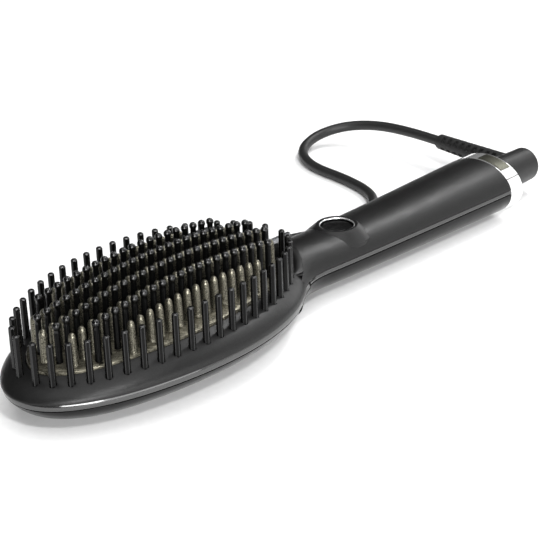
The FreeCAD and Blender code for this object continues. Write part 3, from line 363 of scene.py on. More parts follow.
def two_tones(finish, source, dark, light, start=NOISE_LOW, end=NOISE_HIGH):
    """A colour that runs from dark to light with the source."""
    ramp = add_node(finish, "ValToRGB", {}, Fac=source)
    stops = ramp.color_ramp.elements
    stops[0].position, stops[1].position = start, end
    stops[0].color, stops[1].color = (*dark, 1), (*light, 1)
    to_shader(finish, "Base Color", ramp.outputs["Color"])


def relief(finish, source, depth, strength, rounding=0.0):
    """Surface relief of this depth in millimetres, over edges softened by the rounding."""
    bump = add_node(finish, "Bump", {"Strength": strength, "Distance": depth * MM}, Height=source)
    if rounding:
        soft = add_node(finish, "Bevel", {"Radius": rounding * MM, "samples": BEVEL_SAMPLES})
        finish.node_tree.links.new(soft.outputs[0], bump.inputs["Normal"])
    to_shader(finish, "Normal", bump.outputs["Normal"])


def dress(finish, *names):
    """Gives solids this finish."""
    for name in names:
        solids[name].data.materials.clear()
        solids[name].data.materials.append(finish)


# %% [markdown]
# ## Floor finish
# A seamless paper sweep, nearly white, with the faint mottling of paper pulp.

# %% Floor finish
paper = new_finish("paper_sweep", (0.9, 0.9, 0.9), 0.0, 0.9)
two_tones(paper, grain(paper, 3.0), (0.89, 0.89, 0.89), (0.92, 0.92, 0.92))
floor.data.materials.append(paper)
print("floor finish:", paper.name)

# %% [markdown]
# ## Housing finishes
# The upper half is moulded with a fine spark-eroded texture that breaks its shine into a soft
# satin. The lower half is polished, with only the slight waviness of a moulded gloss surface.
# Both get very fine noise in the relief, and slow noise in the roughness for handling marks.

# %% Satin and gloss black
satin = new_finish("satin_black", (0.006, 0.006, 0.006), 0.0, 0.4, Specular_IOR_Level=0.3)
two_tones(satin, grain(satin, 0.4, 3), (0.003, 0.003, 0.003), (0.008, 0.008, 0.008))
handling(satin, grain(satin, 9, 4), 0.36, 0.44)
relief(satin, grain(satin, 0.4, 3), 0.07, 0.5, rounding=0.25)
dress(satin, "upper_housing")

gloss = new_finish("gloss_black", (0.002, 0.002, 0.002), 0.0, 0.16, Specular_IOR_Level=0.16)
handling(gloss, grain(gloss, 6, 5), 0.13, 0.22)
relief(gloss, grain(gloss, 4, 1), 0.01, 0.5, rounding=0.25)
dress(gloss, "lower_housing")
print("housing finishes:", satin.name, gloss.name)

# %% [markdown]
# ## The plate's dome and its rows
# The heated plate is a cast metal tray with a gently domed top. Rows of blunt fingers stand
# on it, and rows of bristles come up through it between them, half a step along. The dome is
# an arc swung about a second arc, so its height at any place is one formula, and every post
# in the field takes its foot from that formula.

# %% The plate's dome and its rows
PLATE_X, PLATE_Y, PLATE_FOOT = 57.5, 27.5, 14.0  # half length, half width, lowest edge
PLATE_SKIN, PLATE_WALL = 2.5, 1.8
CROWN_X, CROWN_TOP = 6, 28.9  # the dome's highest place
CROWN_LONG, CROWN_WIDE = 253, 89  # the dome's radii along and across
TOOTH_PITCH, ROW_PITCH, ROW_MARGIN = 4.4, 5.15, 3.5
FINGER_ROWS, BRISTLE_ROWS = (0, -2, 2, -4, 4), (-3, -1, 1, 3)
HALF_STEP = 0.5


def crown_z(x, y):
    """Height of the plate's domed top."""
    swing = CROWN_WIDE * math.cos(math.asin(y / CROWN_WIDE)) + CROWN_LONG - CROWN_WIDE
    return CROWN_TOP - CROWN_LONG + math.sqrt(swing**2 - (x - CROWN_X) ** 2)


def row_places(y, offset):
    """Places along one row that keep clear of the plate's edge."""
    reach = PLATE_X * math.sqrt(1 - (y / PLATE_Y) ** 2) - ROW_MARGIN
    last = math.floor(reach / TOOTH_PITCH - offset)
    return [(k + offset) * TOOTH_PITCH for k in range(-last - round(2 * offset), last + 1)]


def field(rows, offset):
    """All places of one kind of post, row by row."""
    return [(x, row * ROW_PITCH) for row in rows for x in row_places(row * ROW_PITCH, offset)]


finger_places = field(FINGER_ROWS, 0)
pin_places = field(BRISTLE_ROWS, HALF_STEP)
print(len(finger_places), "fingers and", len(pin_places), "bristles")

# %% [markdown]
# ## The pierced plate
# The top has a hole for every bristle. Cutting that many holes with booleans is slow and
# leaves ragged faces, so the top is first cut as a flat pattern: an oval outline and many
# small circles, filled with triangles. Loose points in between keep the triangles even, so
# that they follow the dome well. The same pattern serves for the underside.

# %% The flat pattern
RIM_SIDES, HOLE_SIDES = 144, 10
RIM_INSET, HOLE_R = 0.5, 1.4
FILL_STEP, FILL_MARGIN = 2.05, 3  # spacing of the loose points that even out the triangles
FILL_SHIFT_X, FILL_SHIFT_Y = 0.3, 0.2  # keeps the loose points off the pattern's own lines
FILL_COLUMNS, FILL_ROWS = 27, 12  # how many steps the loose points go each way
FILL_CLEAR, HOLE_CLEAR = 3.9, 1.65  # squares of the distances kept from a bristle's middle


def rim_ring(inset, lift=None, z=None):
    """An oval inside the plate's edge, on the dome with a lift, or level."""
    ring = []
    for k in range(RIM_SIDES):
        a = 2 * math.pi * k / RIM_SIDES
        x, y = (PLATE_X - inset) * math.cos(a), (PLATE_Y - inset) * math.sin(a)
        ring.append((x, y, crown_z(x, y) + lift if z is None else z))
    return ring


def within_plate(x, y, margin):
    """Whether a place lies inside the plate's oval, drawn in by a margin."""
    return (x / (PLATE_X - margin)) ** 2 + (y / (PLATE_Y - margin)) ** 2 < 1


def clear_of_bristles(x, y, square):
    """Whether the square of a place's distance from every bristle is more than this."""
    return all((x - px) ** 2 + (y - py) ** 2 > square for px, py in pin_places)


def flat_pattern():
    """The top laid flat: its corners, and its triangles without those in the holes."""
    flat = [(x, y) for x, y, z in rim_ring(RIM_INSET, 0) + rim_ring(PLATE_WALL, 0)]
    edges = [(k, (k + 1) % RIM_SIDES) for k in range(RIM_SIDES)]
    edges += [(a + RIM_SIDES, b + RIM_SIDES) for a, b in edges]
    angles = [2 * math.pi * k / HOLE_SIDES for k in range(HOLE_SIDES)]
    for px, py in pin_places:
        first = len(flat)
        flat += [(px + HOLE_R * math.cos(a), py + HOLE_R * math.sin(a)) for a in angles]
        edges += [(first + k, first + (k + 1) % HOLE_SIDES) for k in range(HOLE_SIDES)]
    for column in range(-FILL_COLUMNS, FILL_COLUMNS + 1):
        for row in range(-FILL_ROWS, FILL_ROWS + 1):
            x, y = column * FILL_STEP + FILL_SHIFT_X, row * FILL_STEP + FILL_SHIFT_Y
            if within_plate(x, y, FILL_MARGIN) and clear_of_bristles(x, y, FILL_CLEAR):
                flat.append((x, y))
    corners = [Vector(place) for place in flat]
    filled, _, triangles, *_ = delaunay_2d_cdt(corners, edges, [], 0, 1e-5)
    kept = []
    for tri in triangles:
        x = sum(filled[k].x for k in tri) / 3
        y = sum(filled[k].y for k in tri) / 3
        if clear_of_bristles(x, y, HOLE_CLEAR):
            kept.append(tuple(tri))
    return filled, kept


flat_points, flat_faces = flat_pattern()
print("flat pattern of", len(flat_points), "points and", len(flat_faces), "triangles")

# %% [markdown]
# ## The tray
# Lifting the pattern onto the dome gives the top. Rings of corners follow from there: two
# round the rim over, the next two are the skirt's foot, and the last is the underside's own
# edge. The plate and the small bar under it, which holds the heater, stand for one solid.

# %% The tray
RIM_ROUNDING = ((0.15, -0.12), (0, -0.5))  # inset from the edge, lift over the dome
RIM_SLACK = 0.01
PAD_X, PAD_Y, PAD_LOW, PAD_TOP = 40, 3, 22, 25


def plate_mesh():
    """The tray: pierced top, rounded rim, skirt, and the same top again for its underside."""
    top = [(p.x, p.y, crown_z(p.x, p.y)) for p in flat_points]
    places = top + [(x, y, z - PLATE_SKIN) for x, y, z in top]
    under = len(top)
    faces = list(flat_faces)
    for tri in flat_faces:
        x, y = (sum(top[k][axis] for k in tri) / 3 for axis in (0, 1))
        if within_plate(x, y, PLATE_WALL + RIM_SLACK):
            faces.append(tuple(under + k for k in reversed(tri)))
    for number in range(len(pin_places)):
        first = 2 * RIM_SIDES + number * HOLE_SIDES
        for k in range(HOLE_SIDES):
            n = (k + 1) % HOLE_SIDES
            faces.append((first + k, first + n, under + first + n, under + first + k))
    rings = [list(range(RIM_SIDES))]
    rim = [rim_ring(inset, lift) for inset, lift in RIM_ROUNDING]
    skirt = [rim_ring(inset, z=PLATE_FOOT) for inset in (0, PLATE_WALL)]
    for ring in rim + skirt:
        rings.append(list(range(len(places), len(places) + RIM_SIDES)))
        places += ring
    rings.append(list(range(under + RIM_SIDES, under + 2 * RIM_SIDES)))
    for upper, lower in zip(rings, rings[1:]):
        for k in range(RIM_SIDES):
            n = (k + 1) % RIM_SIDES
            faces.append((upper[k], lower[k], lower[n], upper[n]))
    return [at(*place) for place in places], faces


plate = mesh_piece("plate_pierced", *plate_mesh(), crease=40)
pad_bar = bar_rings(-PAD_X, PAD_X, -PAD_Y, PAD_Y, PAD_LOW, PAD_TOP)
pad = mesh_piece("plate_pad", *skinned([pad_bar]))
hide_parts("heater_plate")
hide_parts("heater_plate")
print("plate", len(plate.data.polygons), "faces")

# %% [markdown]
# ## Fingers
# The fingers are cast with the plate, so each has a small fillet at its foot, tapers a little
# so that it leaves the mould, and ends in a rounded tip. They are oval, wider across the
# brush than along it. Each is a stack of oval rings whose width follows that profile.

# %% Fingers
FINGER_TALL, FINGER_ALONG, FINGER_ACROSS, FINGER_SIDES = 11.8, 3.0, 3.6, 14
FINGER_FOOT = ((-0.8, 1.12), (0.05, 1.1), (0.35, 1.02), (1.0, 1.0))  # rise over the dome, width
SHOULDER_DROP, SHOULDER_WIDTH = 3.2, 0.9
TIP_DROP, TIP_WIDTH, TIP_BLUNT = 2.6, 0.88, 0.85
TIP_RINGS, TIP_QUARTER = 6, 6.6  # the last ring stops short of the full quarter turn


def finger_rings(x, y):
    """One blunt finger, from just under the plate's top to its tip."""
    foot = crown_z(x, y)
    crest = foot + FINGER_TALL
    levels = [(foot + rise, width) for rise, width in FINGER_FOOT]
    levels.append((crest - SHOULDER_DROP, SHOULDER_WIDTH))
    for k in range(1, TIP_RINGS + 1):
        swing = math.pi / 2 * k / TIP_QUARTER
        z = crest - TIP_DROP * (1 - math.sin(swing))
        levels.append((z, TIP_WIDTH * math.cos(swing) ** TIP_BLUNT))
    half_x, half_y = FINGER_ALONG / 2, FINGER_ACROSS / 2
    return [oval(x, y, z, half_x * s, half_y * s, FINGER_SIDES) for z, s in levels]


finger_skin = skinned(finger_rings(x, y) for x, y in finger_places)
fingers = mesh_piece("plate_fingers", *finger_skin, crease=60)
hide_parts("heater_plate")
print("fingers", len(fingers.data.polygons), "faces")

# %% [markdown]
# ## Bristles
# Black nylon bristles stand between the fingers: slim shafts that narrow a little upwards
# and end in a shiny ball. They are moulded in rows on four strips that lie hidden under the
# plate, so each row is one piece. The outer rows are a little shorter, and all of them follow
# the crown of the field, so the brush has an even cushion of tips.

# %% Ball-tipped bristles
PIN_TOP, PIN_R, BALL_R, PIN_SIDES, OUTER_DROP = 43.6, 1.15, 1.5, 14, 0.6
PIN_FOOT_R, PIN_NECK_R, PIN_NECK = PIN_R * 1.08, PIN_R * 0.98, 2.2
BALL_ANGLES = (-42, -25, -8, 10, 28, 46, 62, 76)  # degrees up from the ball's middle
BALL_FLAT, FOOT_LAP = 0.12, 0.5  # the top's share of the ball, and how far shafts run on
BASE_LOW, BASE_TOP, STRIP_HALF = 11.5, 13.98, 1.3


def bristle_crest(x, y):
    """Height of a bristle's top at a place in the field."""
    drop = OUTER_DROP if abs(y) > ROW_PITCH * 2 else 0
    return PIN_TOP - drop - (x - CROWN_X) ** 2 / (2 * CROWN_LONG)


def bristle_rings(x, y):
    """One bristle from its strip to the top of its ball."""
    crest = bristle_crest(x, y)
    middle = crest - BALL_R
    levels = [(PLATE_FOOT - FOOT_LAP, PIN_FOOT_R), (crown_z(x, y) + FOOT_LAP, PIN_FOOT_R)]
    levels.append((middle - PIN_NECK, PIN_NECK_R))
    for a in (math.radians(angle) for angle in BALL_ANGLES):
        levels.append((middle + BALL_R * math.sin(a), BALL_R * math.cos(a)))
    levels.append((crest, BALL_R * BALL_FLAT))
    return [oval(x, y, z, r, r, PIN_SIDES) for z, r in levels]


strips = []
for number, row in enumerate(BRISTLE_ROWS):
    y = row * ROW_PITCH
    row_x = row_places(y, HALF_STEP)
    ends = row_x[0] - STRIP_HALF, row_x[-1] + STRIP_HALF
    bar = bar_rings(*ends, y - STRIP_HALF, y + STRIP_HALF, BASE_LOW, BASE_TOP)
    bristles = [bristle_rings(x, y) for x in row_x]
    strip = mesh_piece(f"bristle_row_{number + 1}", *skinned([bar, *bristles]), crease=50)
    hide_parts(f"pin_strip_{number + 1}")
    strips.append(strip)
    print(strip.name, len(row_x), "bristles")

# %% [markdown]
# ## Guard pins
# Round the plate stands a ring of plain guard pins that keep the hot fingers off the skin.
# They are six-sided with softened edges and a flat bevelled end, and a hidden frame joins
# them. They stand at even steps along an oval, and an oval's length has no simple formula,
# so it is walked in many short steps and a pin is set down each time a pitch is passed.
# Their narrow faces and ends are marked here, to be given a paler nylon later that paints a
# highlight line along each ridge.

# %% Guard pins
GUARD_X, GUARD_Y, GUARD_PITCH, GUARD_START = 61.3, 31.9, 6.4, 4.45
GUARD_R, GUARD_FOOT, GUARD_TOP, GUARD_LONG = 1.3, 14.2, 37.8, 490
GUARD_END = ((0.55, 0.95), (0.12, 0.72), (0.0, 0.5))  # drop from the crest, share of radius
GUARD_SIDES, GUARD_TURN, CORNER_HALF = 12, 28, 9  # faces round a pin, and two angles in degrees
WALK_STEPS = 4000
FRAME_EDGE, FRAME_LAP, FRAME_SIDES = 1.4, 1, 96


def guard_places():
    """Even places of the guard pins along their oval, mirrored across the head's axis."""
    ring = []
    for k in range(WALK_STEPS + 1):
        a = math.pi * k / WALK_STEPS
        ring.append(Vector((-GUARD_X * math.cos(a), GUARD_Y * math.sin(a))))
    run = [0.0]
    for before, after in zip(ring, ring[1:]):
        run.append(run[-1] + (after - before).length)
    gaps = round((run[-1] - 2 * GUARD_START) / GUARD_PITCH)
    places, k = [], 0
    for gap in range(gaps + 1):
        target = GUARD_START + gap * (run[-1] - 2 * GUARD_START) / gaps
        while run[k] < target:
            k += 1
        places += [(ring[k].x, ring[k].y), (ring[k].x, -ring[k].y)]
    return places


def soft_hexagon(x, y, z, radius):
    """A six-sided ring whose corners are cut by a narrow face."""
    turns = [60 * k + GUARD_TURN + side for k in range(6) for side in (-CORNER_HALF, CORNER_HALF)]
    angles = [math.radians(turn) for turn in turns]
    return [at(x + radius * math.cos(a), y + radius * math.sin(a), z) for a in angles]


def guard_rings(x, y):
    """One guard pin, from its frame to its bevelled end."""
    crest = GUARD_TOP - (x - CROWN_X) ** 2 / (2 * GUARD_LONG)
    levels = [(GUARD_FOOT, GUARD_R)]
    levels += [(crest - drop, GUARD_R * share) for drop, share in GUARD_END]
    return [soft_hexagon(x, y, z, r) for z, r in levels]


def closed_loop(rings):
    """Points and faces of a closed band: each ring joins the next, the last joins the first."""
    points, faces, count = [p for ring in rings for p in ring], [], len(rings[0])
    for low in range(len(rings)):
        up = (low + 1) % len(rings)
        for k in range(count):
            n = (k + 1) % count
            faces.append((low * count + k, low * count + n, up * count + n, up * count + k))
    return points, faces


guards = guard_places()
guard_pins = mesh_piece("guard_pins", *skinned(guard_rings(x, y) for x, y in guards), crease=14)
faces_each = len(guard_pins.data.polygons) // len(guards)
# the narrow corner faces and the bevelled ends take the second finish: a paler nylon that paints a
# highlight along each ridge
for polygon in guard_pins.data.polygons:
    place = polygon.index % faces_each
    bevel = GUARD_SIDES <= place < GUARD_SIDES * len(GUARD_END)
    polygon.material_index = 1 if place % 2 == 0 or bevel else 0
edge_x, edge_y = GUARD_X + FRAME_EDGE, GUARD_Y + FRAME_EDGE
lap_x, lap_y = PLATE_X - FRAME_LAP, PLATE_Y - FRAME_LAP
outer = [oval(0, 0, z, edge_x, edge_y, FRAME_SIDES) for z in (BASE_LOW, BASE_TOP)]
inner = [oval(0, 0, z, lap_x, lap_y, FRAME_SIDES) for z in (BASE_TOP, BASE_LOW)]
guard_frame = mesh_piece("guard_frame", *closed_loop(outer + inner))
for made in (guard_pins, guard_frame):
    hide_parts("guard_pin_frame")
print(len(guards), "guard pins")

# %% [markdown]
# ## Measuring the trims
# A glossy band runs between the two halves of the housing and follows it exactly, so its
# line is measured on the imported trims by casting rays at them. Its height follows the
# parting line, which falls with the distance from the head's middle. A ray has to start at
# that height before the place it will hit is known, so each place is found in a few guesses.

# %% Measuring the trims
PARTING_Z = 15.7
HANDLE_FALL, HANDLE_LONG = 1.2, 191.7  # the parting line falls this much over the handle
TIP_FALL, TIP_LONG = 2.7, 67.8  # and this much towards the tip of the head
FIRST_REACH, GUESSES = 35, 3  # a first guess at the half width, and how often it is bettered
RAY_START = 0.09  # metres, well outside the brush


def parting_z(x):
    """Height of the line where the upper half ends."""
    if x > 0:
        return PARTING_Z - HANDLE_FALL * x / HANDLE_LONG
    return PARTING_Z - TIP_FALL * (x / TIP_LONG) ** 2


def skin_tree(name):
    """A ray-casting tree of one solid."""
    mesh = solids[name].data
    corners = [vertex.co for vertex in mesh.vertices]
    return BVHTree.FromPolygons(corners, [tuple(polygon.vertices) for polygon in mesh.polygons])


def outline_point(tree, centre_x, direction, depth):
    """The band's outer face at a depth below the parting line, seen along a direction."""
    x = centre_x + FIRST_REACH * direction.x
    for _ in range(GUESSES):
        start = at(centre_x, 0, parting_z(x) - depth) + direction * RAY_START
        hit = tree.ray_cast(start, -direction)[0]
        if hit is None:
            return None
        x = on_drawing(hit)[0]
    return hit


print("parting line at", round(parting_z(-TIP_LONG), 2), "and", round(parting_z(HANDLE_LONG), 2))

# %% [markdown]
# ## Trim bands
# The band's edges are rounded where it meets the housing, which leaves the fine dark grooves
# that outline the brush. A section with those rounded edges is swept along the measured line.
# It leans out a little towards its foot, so that it mirrors the light of the low panel.

# %% Trim bands
BAND_GROOVE, BAND_SLANT = 0.55, math.radians(16)
RAY_MARGIN = 0.25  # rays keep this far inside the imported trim's edges
GUIDE = 6  # the corner of the profile that leads the strip


def band_profile(height):
    """Corners of the band's section: depth below the parting line, and distance inwards."""
    foot = height - BAND_GROOVE
    slant = (foot - 0.42) * math.tan(BAND_SLANT)
    upper = ((0.02, 1.3), (0.02, 0.85), (0.28, 0.85), (0.3, slant + 0.12), (0.42, slant))
    belly = ((foot - 0.2, 0.03), (foot, 0.0), (height - 0.42, 0.03), (height - 0.34, 0.12))
    lower = ((height - 0.28, 0.3), (height - 0.26, 0.75))
    lower += ((height - 0.02, 0.75), (height - 0.02, 1.3))
    return upper + belly + lower


def swept_band(name, solid, sights, height):
    """A rounded strip along a solid's outer face; each sight is a centre and a direction."""
    tree = skin_tree(solid)
    profile = band_profile(height)
    depths = [min(max(depth, RAY_MARGIN), height - RAY_MARGIN) for depth, inset in profile]
    rows = []
    for centre_x, direction in sights:
        hits = [outline_point(tree, centre_x, direction, depth) for depth in depths]
        if all(hits):
            rows.append(hits)
    rings = []
    for k, hits in enumerate(rows):
        along = rows[min(k + 1, len(rows) - 1)][GUIDE] - rows[max(k - 1, 0)][GUIDE]
        inward = Vector((-along.y, along.x, 0)).normalized()
        if k == 0:
            flip = -1 if inward.dot(hits[GUIDE] - at(sights[0][0], 0, 0)) > 0 else 1
        ring = []
        for (depth, inset), hit in zip(profile, hits):
            place = hit + inward * flip * inset * MM
            place.z = (parting_z(on_drawing(hit)[0]) - depth) * MM
            ring.append(place)
        rings.append(ring[::flip])  # so that the faces look outwards on either side
    made = mesh_piece(name, *skinned([rings]), crease=50)
    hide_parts(solid)
    print(name, len(rows), "stations")
    return made


# stations stand closer together where the outline turns into the neck
side_x = [63.6 - 0.75 * k for k in range(24)] + [45 - 2.5 * k for k in range(31)]
handle_x = [64.3 + 0.9 * k for k in range(16)] + [79 + 4.5 * k for k in range(26)]
TIP_CENTRE, HEAD_BAND, HANDLE_BAND = -32.0, 3.0, 2.0
tip_angles = [math.radians(-90 - 3 * k) for k in range(1, 60)]
near = [(x, Vector((0, -1, 0))) for x in side_x]
tip = [(TIP_CENTRE, Vector((math.cos(a), math.sin(a), 0))) for a in tip_angles]
far = [(x, Vector((0, 1, 0))) for x in reversed(side_x)]
bands = [swept_band("head_band", "head_trim", near + tip + far, HEAD_BAND)]
for name, side in (("near", -1), ("far", 1)):
    sights = [(x, Vector((0, side, 0))) for x in handle_x]
    bands.append(swept_band(f"handle_band_{name}", f"handle_trim_{name}", sights, HANDLE_BAND))

# %% [markdown]
# ## Root of the neck
# Behind the last guard pins the neck rounds over and comes down to the head, so that no hair
# catches there. Its upper edge follows the oval that clears the bristles, and its foot lies
# on the dome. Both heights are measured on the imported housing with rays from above, and the
# slope between them is a power curve: level at the neck and steep at the foot. The piece is
# a stack of slices side by side, so the same skin helper closes it.

# %% Root of the neck
CLEAR_X, CLEAR_Y, SKY = 69.5, 31.0, 60  # the clearing oval, and a height above the brush
ROOT_EDGE, ROOT_FOOT = 1.005, 0.932  # shares of the clearing oval
ROOT_SPAN, ROOT_STEP, ROOT_RINGS = 30, 2, 10  # degrees to each side and between columns
ROOT_CURVE, ROOT_SUNK, ROOT_THICK = 2.6, 0.02, 0.7


def housing_place(tree, angle, scale):
    """A place on the clearing oval, scaled, with the housing's height there."""
    x, y = CLEAR_X * math.cos(angle) * scale, CLEAR_Y * math.sin(angle) * scale
    return x, y, tree.ray_cast(at(x, y, SKY), Vector((0, 0, -1)))[0].z / MM


def root_column(tree, angle):
    """A slice of the root in one direction: its slope, and its hidden underside."""
    edge_x, edge_y, edge_z = housing_place(tree, angle, ROOT_EDGE)
    foot_x, foot_y, foot_z = housing_place(tree, angle, ROOT_FOOT)
    column = []
    for k in range(ROOT_RINGS + 1):
        share = k / ROOT_RINGS
        z = foot_z - ROOT_SUNK + (edge_z - foot_z) * (1 - share**ROOT_CURVE)
        column.append(at(edge_x + (foot_x - edge_x) * share, edge_y + (foot_y - edge_y) * share, z))
    under_z = foot_z - ROOT_THICK
    return column + [at(foot_x, foot_y, under_z), at(edge_x, edge_y, under_z)]


housing_tree = skin_tree("upper_housing")
angles = [math.radians(a) for a in range(ROOT_SPAN, -ROOT_SPAN - 1, -ROOT_STEP)]
columns = [root_column(housing_tree, angle) for angle in angles]
neck_root = mesh_piece("neck_root", *skinned([columns]), crease=50)
neck_root.data.materials.append(satin)
print("neck root", len(neck_root.data.polygons), "faces")

# %% [markdown]
# ## Strain relief
# A soft rubber sleeve carries the cord out of the swivel and keeps it from kinking there. It
# tapers, and four rows of pockets let it bend. Each ring of the sleeve is drawn round its
# leaning axis, and between the two edges of a pocket its radius drops in the four rows.

# %% Strain relief
RELIEF_X, RELIEF_LEAN, RELIEF_Z = 220.92, math.radians(6), 12.2
POCKETS, POCKET_START, POCKET_PITCH = 9, 11.2, 4.0
POCKET_WIDTH, POCKET_DEPTH, POCKET_HALF, POCKET_EDGE = 2.2, 1.3, math.radians(26), 0.1
SLEEVE_R, SLEEVE_TAPER, SLEEVE_SIDES = 4.5, 0.9, 60
TAPER_START, TAPER_LONG = 8, 41.1
SLEEVE_ROOT, SLEEVE_END = (4.05, 4.45), ((48.4, 3.62), (48.85, 3.45), (49.08, 3.1))


def sleeve_ring(along, radius, sunk=0.0):
    """One ring of the sleeve; the four rows of pockets are sunk by this much."""
    ring = []
    for k in range(SLEEVE_SIDES):
        a = 2 * math.pi * k / SLEEVE_SIDES
        from_row = abs(a % (math.pi / 2) - math.pi / 4)
        r = radius - (sunk if from_row < POCKET_HALF else 0)
        aside = -r * math.cos(a)
        x = RELIEF_X + along * math.sin(RELIEF_LEAN) + aside * math.cos(RELIEF_LEAN)
        y = along * math.cos(RELIEF_LEAN) - aside * math.sin(RELIEF_LEAN)
        ring.append(at(x, y, RELIEF_Z + r * math.sin(a)))
    return ring


def sleeve_radius(along):
    """The taper from the cap to the sleeve's end."""
    return SLEEVE_R - SLEEVE_TAPER * (along - TAPER_START) / TAPER_LONG


sleeve = [sleeve_ring(*SLEEVE_ROOT), sleeve_ring(TAPER_START, SLEEVE_R)]
for number in range(POCKETS):
    first = POCKET_START + number * POCKET_PITCH
    last = first + POCKET_WIDTH
    for edge, inwards in ((first, 1), (last, -1)):
        for along, sunk in ((edge - POCKET_EDGE, inwards < 0), (edge + POCKET_EDGE, inwards > 0)):
            sleeve.append(sleeve_ring(along, sleeve_radius(along), sunk * POCKET_DEPTH))
sleeve += [sleeve_ring(along, radius) for along, radius in SLEEVE_END]
relief_sleeve = mesh_piece("relief_sleeve", *skinned([sleeve]), body="cord_swivel")
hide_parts("strain_relief")
print("sleeve", len(relief_sleeve.data.polygons), "faces")

# %% [markdown]
# ## Button bezel
# A plated ring is pressed into the button's seat. Its inner edge is rounded over like a
# bull's nose, so that a bright crescent always shows round the dark dish of the button. Below
# the nose the bore is given gloss black instead of chrome, as painted shade of the well that
# the button slides in.

# %% Bezel
BUTTON_X, BEZEL_SIDES = 97.5, 96
nose = ((7.29, 22.06), (7.29, 23.7), (7.22, 23.87), (7.1, 23.94), (7.0, 23.92), (6.9, 23.84))
nose += ((6.82, 23.7), (6.76, 23.5), (6.73, 23.25), (6.71, 22.95), (6.71, 22.06))
bezel_rings = [oval(BUTTON_X, 0, z, r, r, BEZEL_SIDES) for r, z in nose]
bezel = mesh_piece("bezel_ring", *closed_loop(bezel_rings), crease=60)
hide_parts("button_bezel")
print("bezel", len(bezel.data.polygons), "faces")

# %% [markdown]
# ## Coated metal
# The plate's coating is a warm grey-green lacquer over cast metal, full of tiny sparkling and
# dark specks. Fingers and plate share it; the plate also carries slanting polishing marks,
# drawn as noise stretched along one direction in the roughness and the relief.

# %% Coated metal
MARK_LEAN, CROSS_LEAN, MARK_STRETCH = math.radians(38), math.radians(-35), (0.04, 1, 1)


def coated_metal(name, brushed):
    """Olive-champagne coating, with slanting marks if it is brushed and specks if it isn't."""
    made = new_finish(name, (0.24, 0.23, 0.18), 0.85, 0.4)
    if brushed:
        marks = grain(made, 0.3, 4, stretch=MARK_STRETCH, turn=MARK_LEAN)
        cross = grain(made, 0.35, 4, stretch=MARK_STRETCH, turn=CROSS_LEAN)
        two_tones(made, marks, (0.025, 0.023, 0.017), (0.2, 0.188, 0.145), 0.36, 0.66)
        handling(made, cross, 0.22, 0.5)
        relief(made, cross, 0.06, 0.5)
    else:
        specks = grain(made, 0.35, 3)
        two_tones(made, specks, (0.03, 0.028, 0.02), (0.27, 0.255, 0.2), 0.36, 0.62)
        handling(made, grain(made, 0.5, 2), 0.24, 0.38)
        relief(made, specks, 0.05, 0.6)
    return made


coated_plate = coated_metal("coated_plate", True)
coated_fingers = coated_metal("coated_fingers", False)
plate.data.materials.append(coated_plate)
pad.data.materials.append(coated_plate)
fingers.data.materials.append(coated_fingers)
print("coated metal:", coated_plate.name, coated_fingers.name)

# %% [markdown]
# ## Nylon
# Bristles and guard pins are dense black nylon with a clean moulded shine. The balls are
# polished by the mould and by hair, so the faces above a bristle's neck get a glossier
# nylon. The corners and ends of the guard pins get a paler, shinier nylon, which paints a
# highlight line along each ridge.

# %% Nylon
nylon = new_finish("nylon_black", (0.002, 0.002, 0.002), 0.0, 0.2, Specular_IOR_Level=0.13)
handling(nylon, grain(nylon, 0.8, 3), 0.16, 0.28)
relief(nylon, grain(nylon, 0.6, 2), 0.01, 0.4)
for made in (*strips, guard_pins, guard_frame):
    made.data.materials.append(nylon)
ball_nylon = new_finish("nylon_ball", (0.002, 0.002, 0.002), 0.0, 0.12, Specular_IOR_Level=0.5)
handling(ball_nylon, grain(ball_nylon, 0.8, 3), 0.08, 0.15)
for strip in strips:
    strip.data.materials.append(ball_nylon)
    for polygon in strip.data.polygons:
        x, y, z = on_drawing(polygon.center)
        if z > bristle_crest(x, y) - 2 * BALL_R:
            polygon.material_index = 1
# paler, shinier nylon for the guard pins' corners and ends: a painted highlight along each ridge
ridge_highlight_nylon = new_finish("nylon_painted_ridge_highlight", (0.01, 0.01, 0.01), 0.0, 0.36, Specular_IOR_Level=0.34)
handling(ridge_highlight_nylon, grain(ridge_highlight_nylon, 0.8, 3), 0.24, 0.36)
guard_pins.data.materials.append(ridge_highlight_nylon)
print("nylon on", len(strips) + 2, "pieces")

# %% [markdown]
# ## Band, rubber and cord
# The trim band is the glossiest plastic of the brush, a clear lacquer over black. The strain
# relief and the cord's sheath are softer, duller rubbers with a fine powdery grain.

# %% Band and rubbers
band_gloss = new_finish("band_gloss", (0.016, 0.016, 0.016), 0.0, 0.12, Specular_IOR_Level=1.0)
handling(band_gloss, grain(band_gloss, 5, 4), 0.09, 0.17)
relief(band_gloss, grain(band_gloss, 3, 1), 0.008, 0.4)
for band in bands:
    band.data.materials.append(band_gloss)


def rubber(name, tone, rough):
    """A dull black rubber with a fine powdery grain."""
    made = new_finish(name, (tone, tone, tone), 0.0, rough, Specular_IOR_Level=0.4)
    two_tones(made, grain(made, 0.5, 3), (tone * 0.8,) * 3, (tone * 1.3,) * 3)
    handling(made, grain(made, 2, 3), rough - 0.05, rough + 0.05)
    relief(made, grain(made, 0.15, 2), 0.02, 0.5, rounding=0.15)
    return made


relief_rubber = rubber("relief_rubber", 0.012, 0.5)
relief_sleeve.data.materials.append(relief_rubber)
dress(relief_rubber, "plug_body")
cord.data.materials.append(rubber("cord_rubber", 0.012, 0.45))
dress(rubber("tie_rubber", 0.02, 0.6), "cord_tie")
print("gloss on", len(bands), "bands, rubber on sleeve, cord, plug and tie")
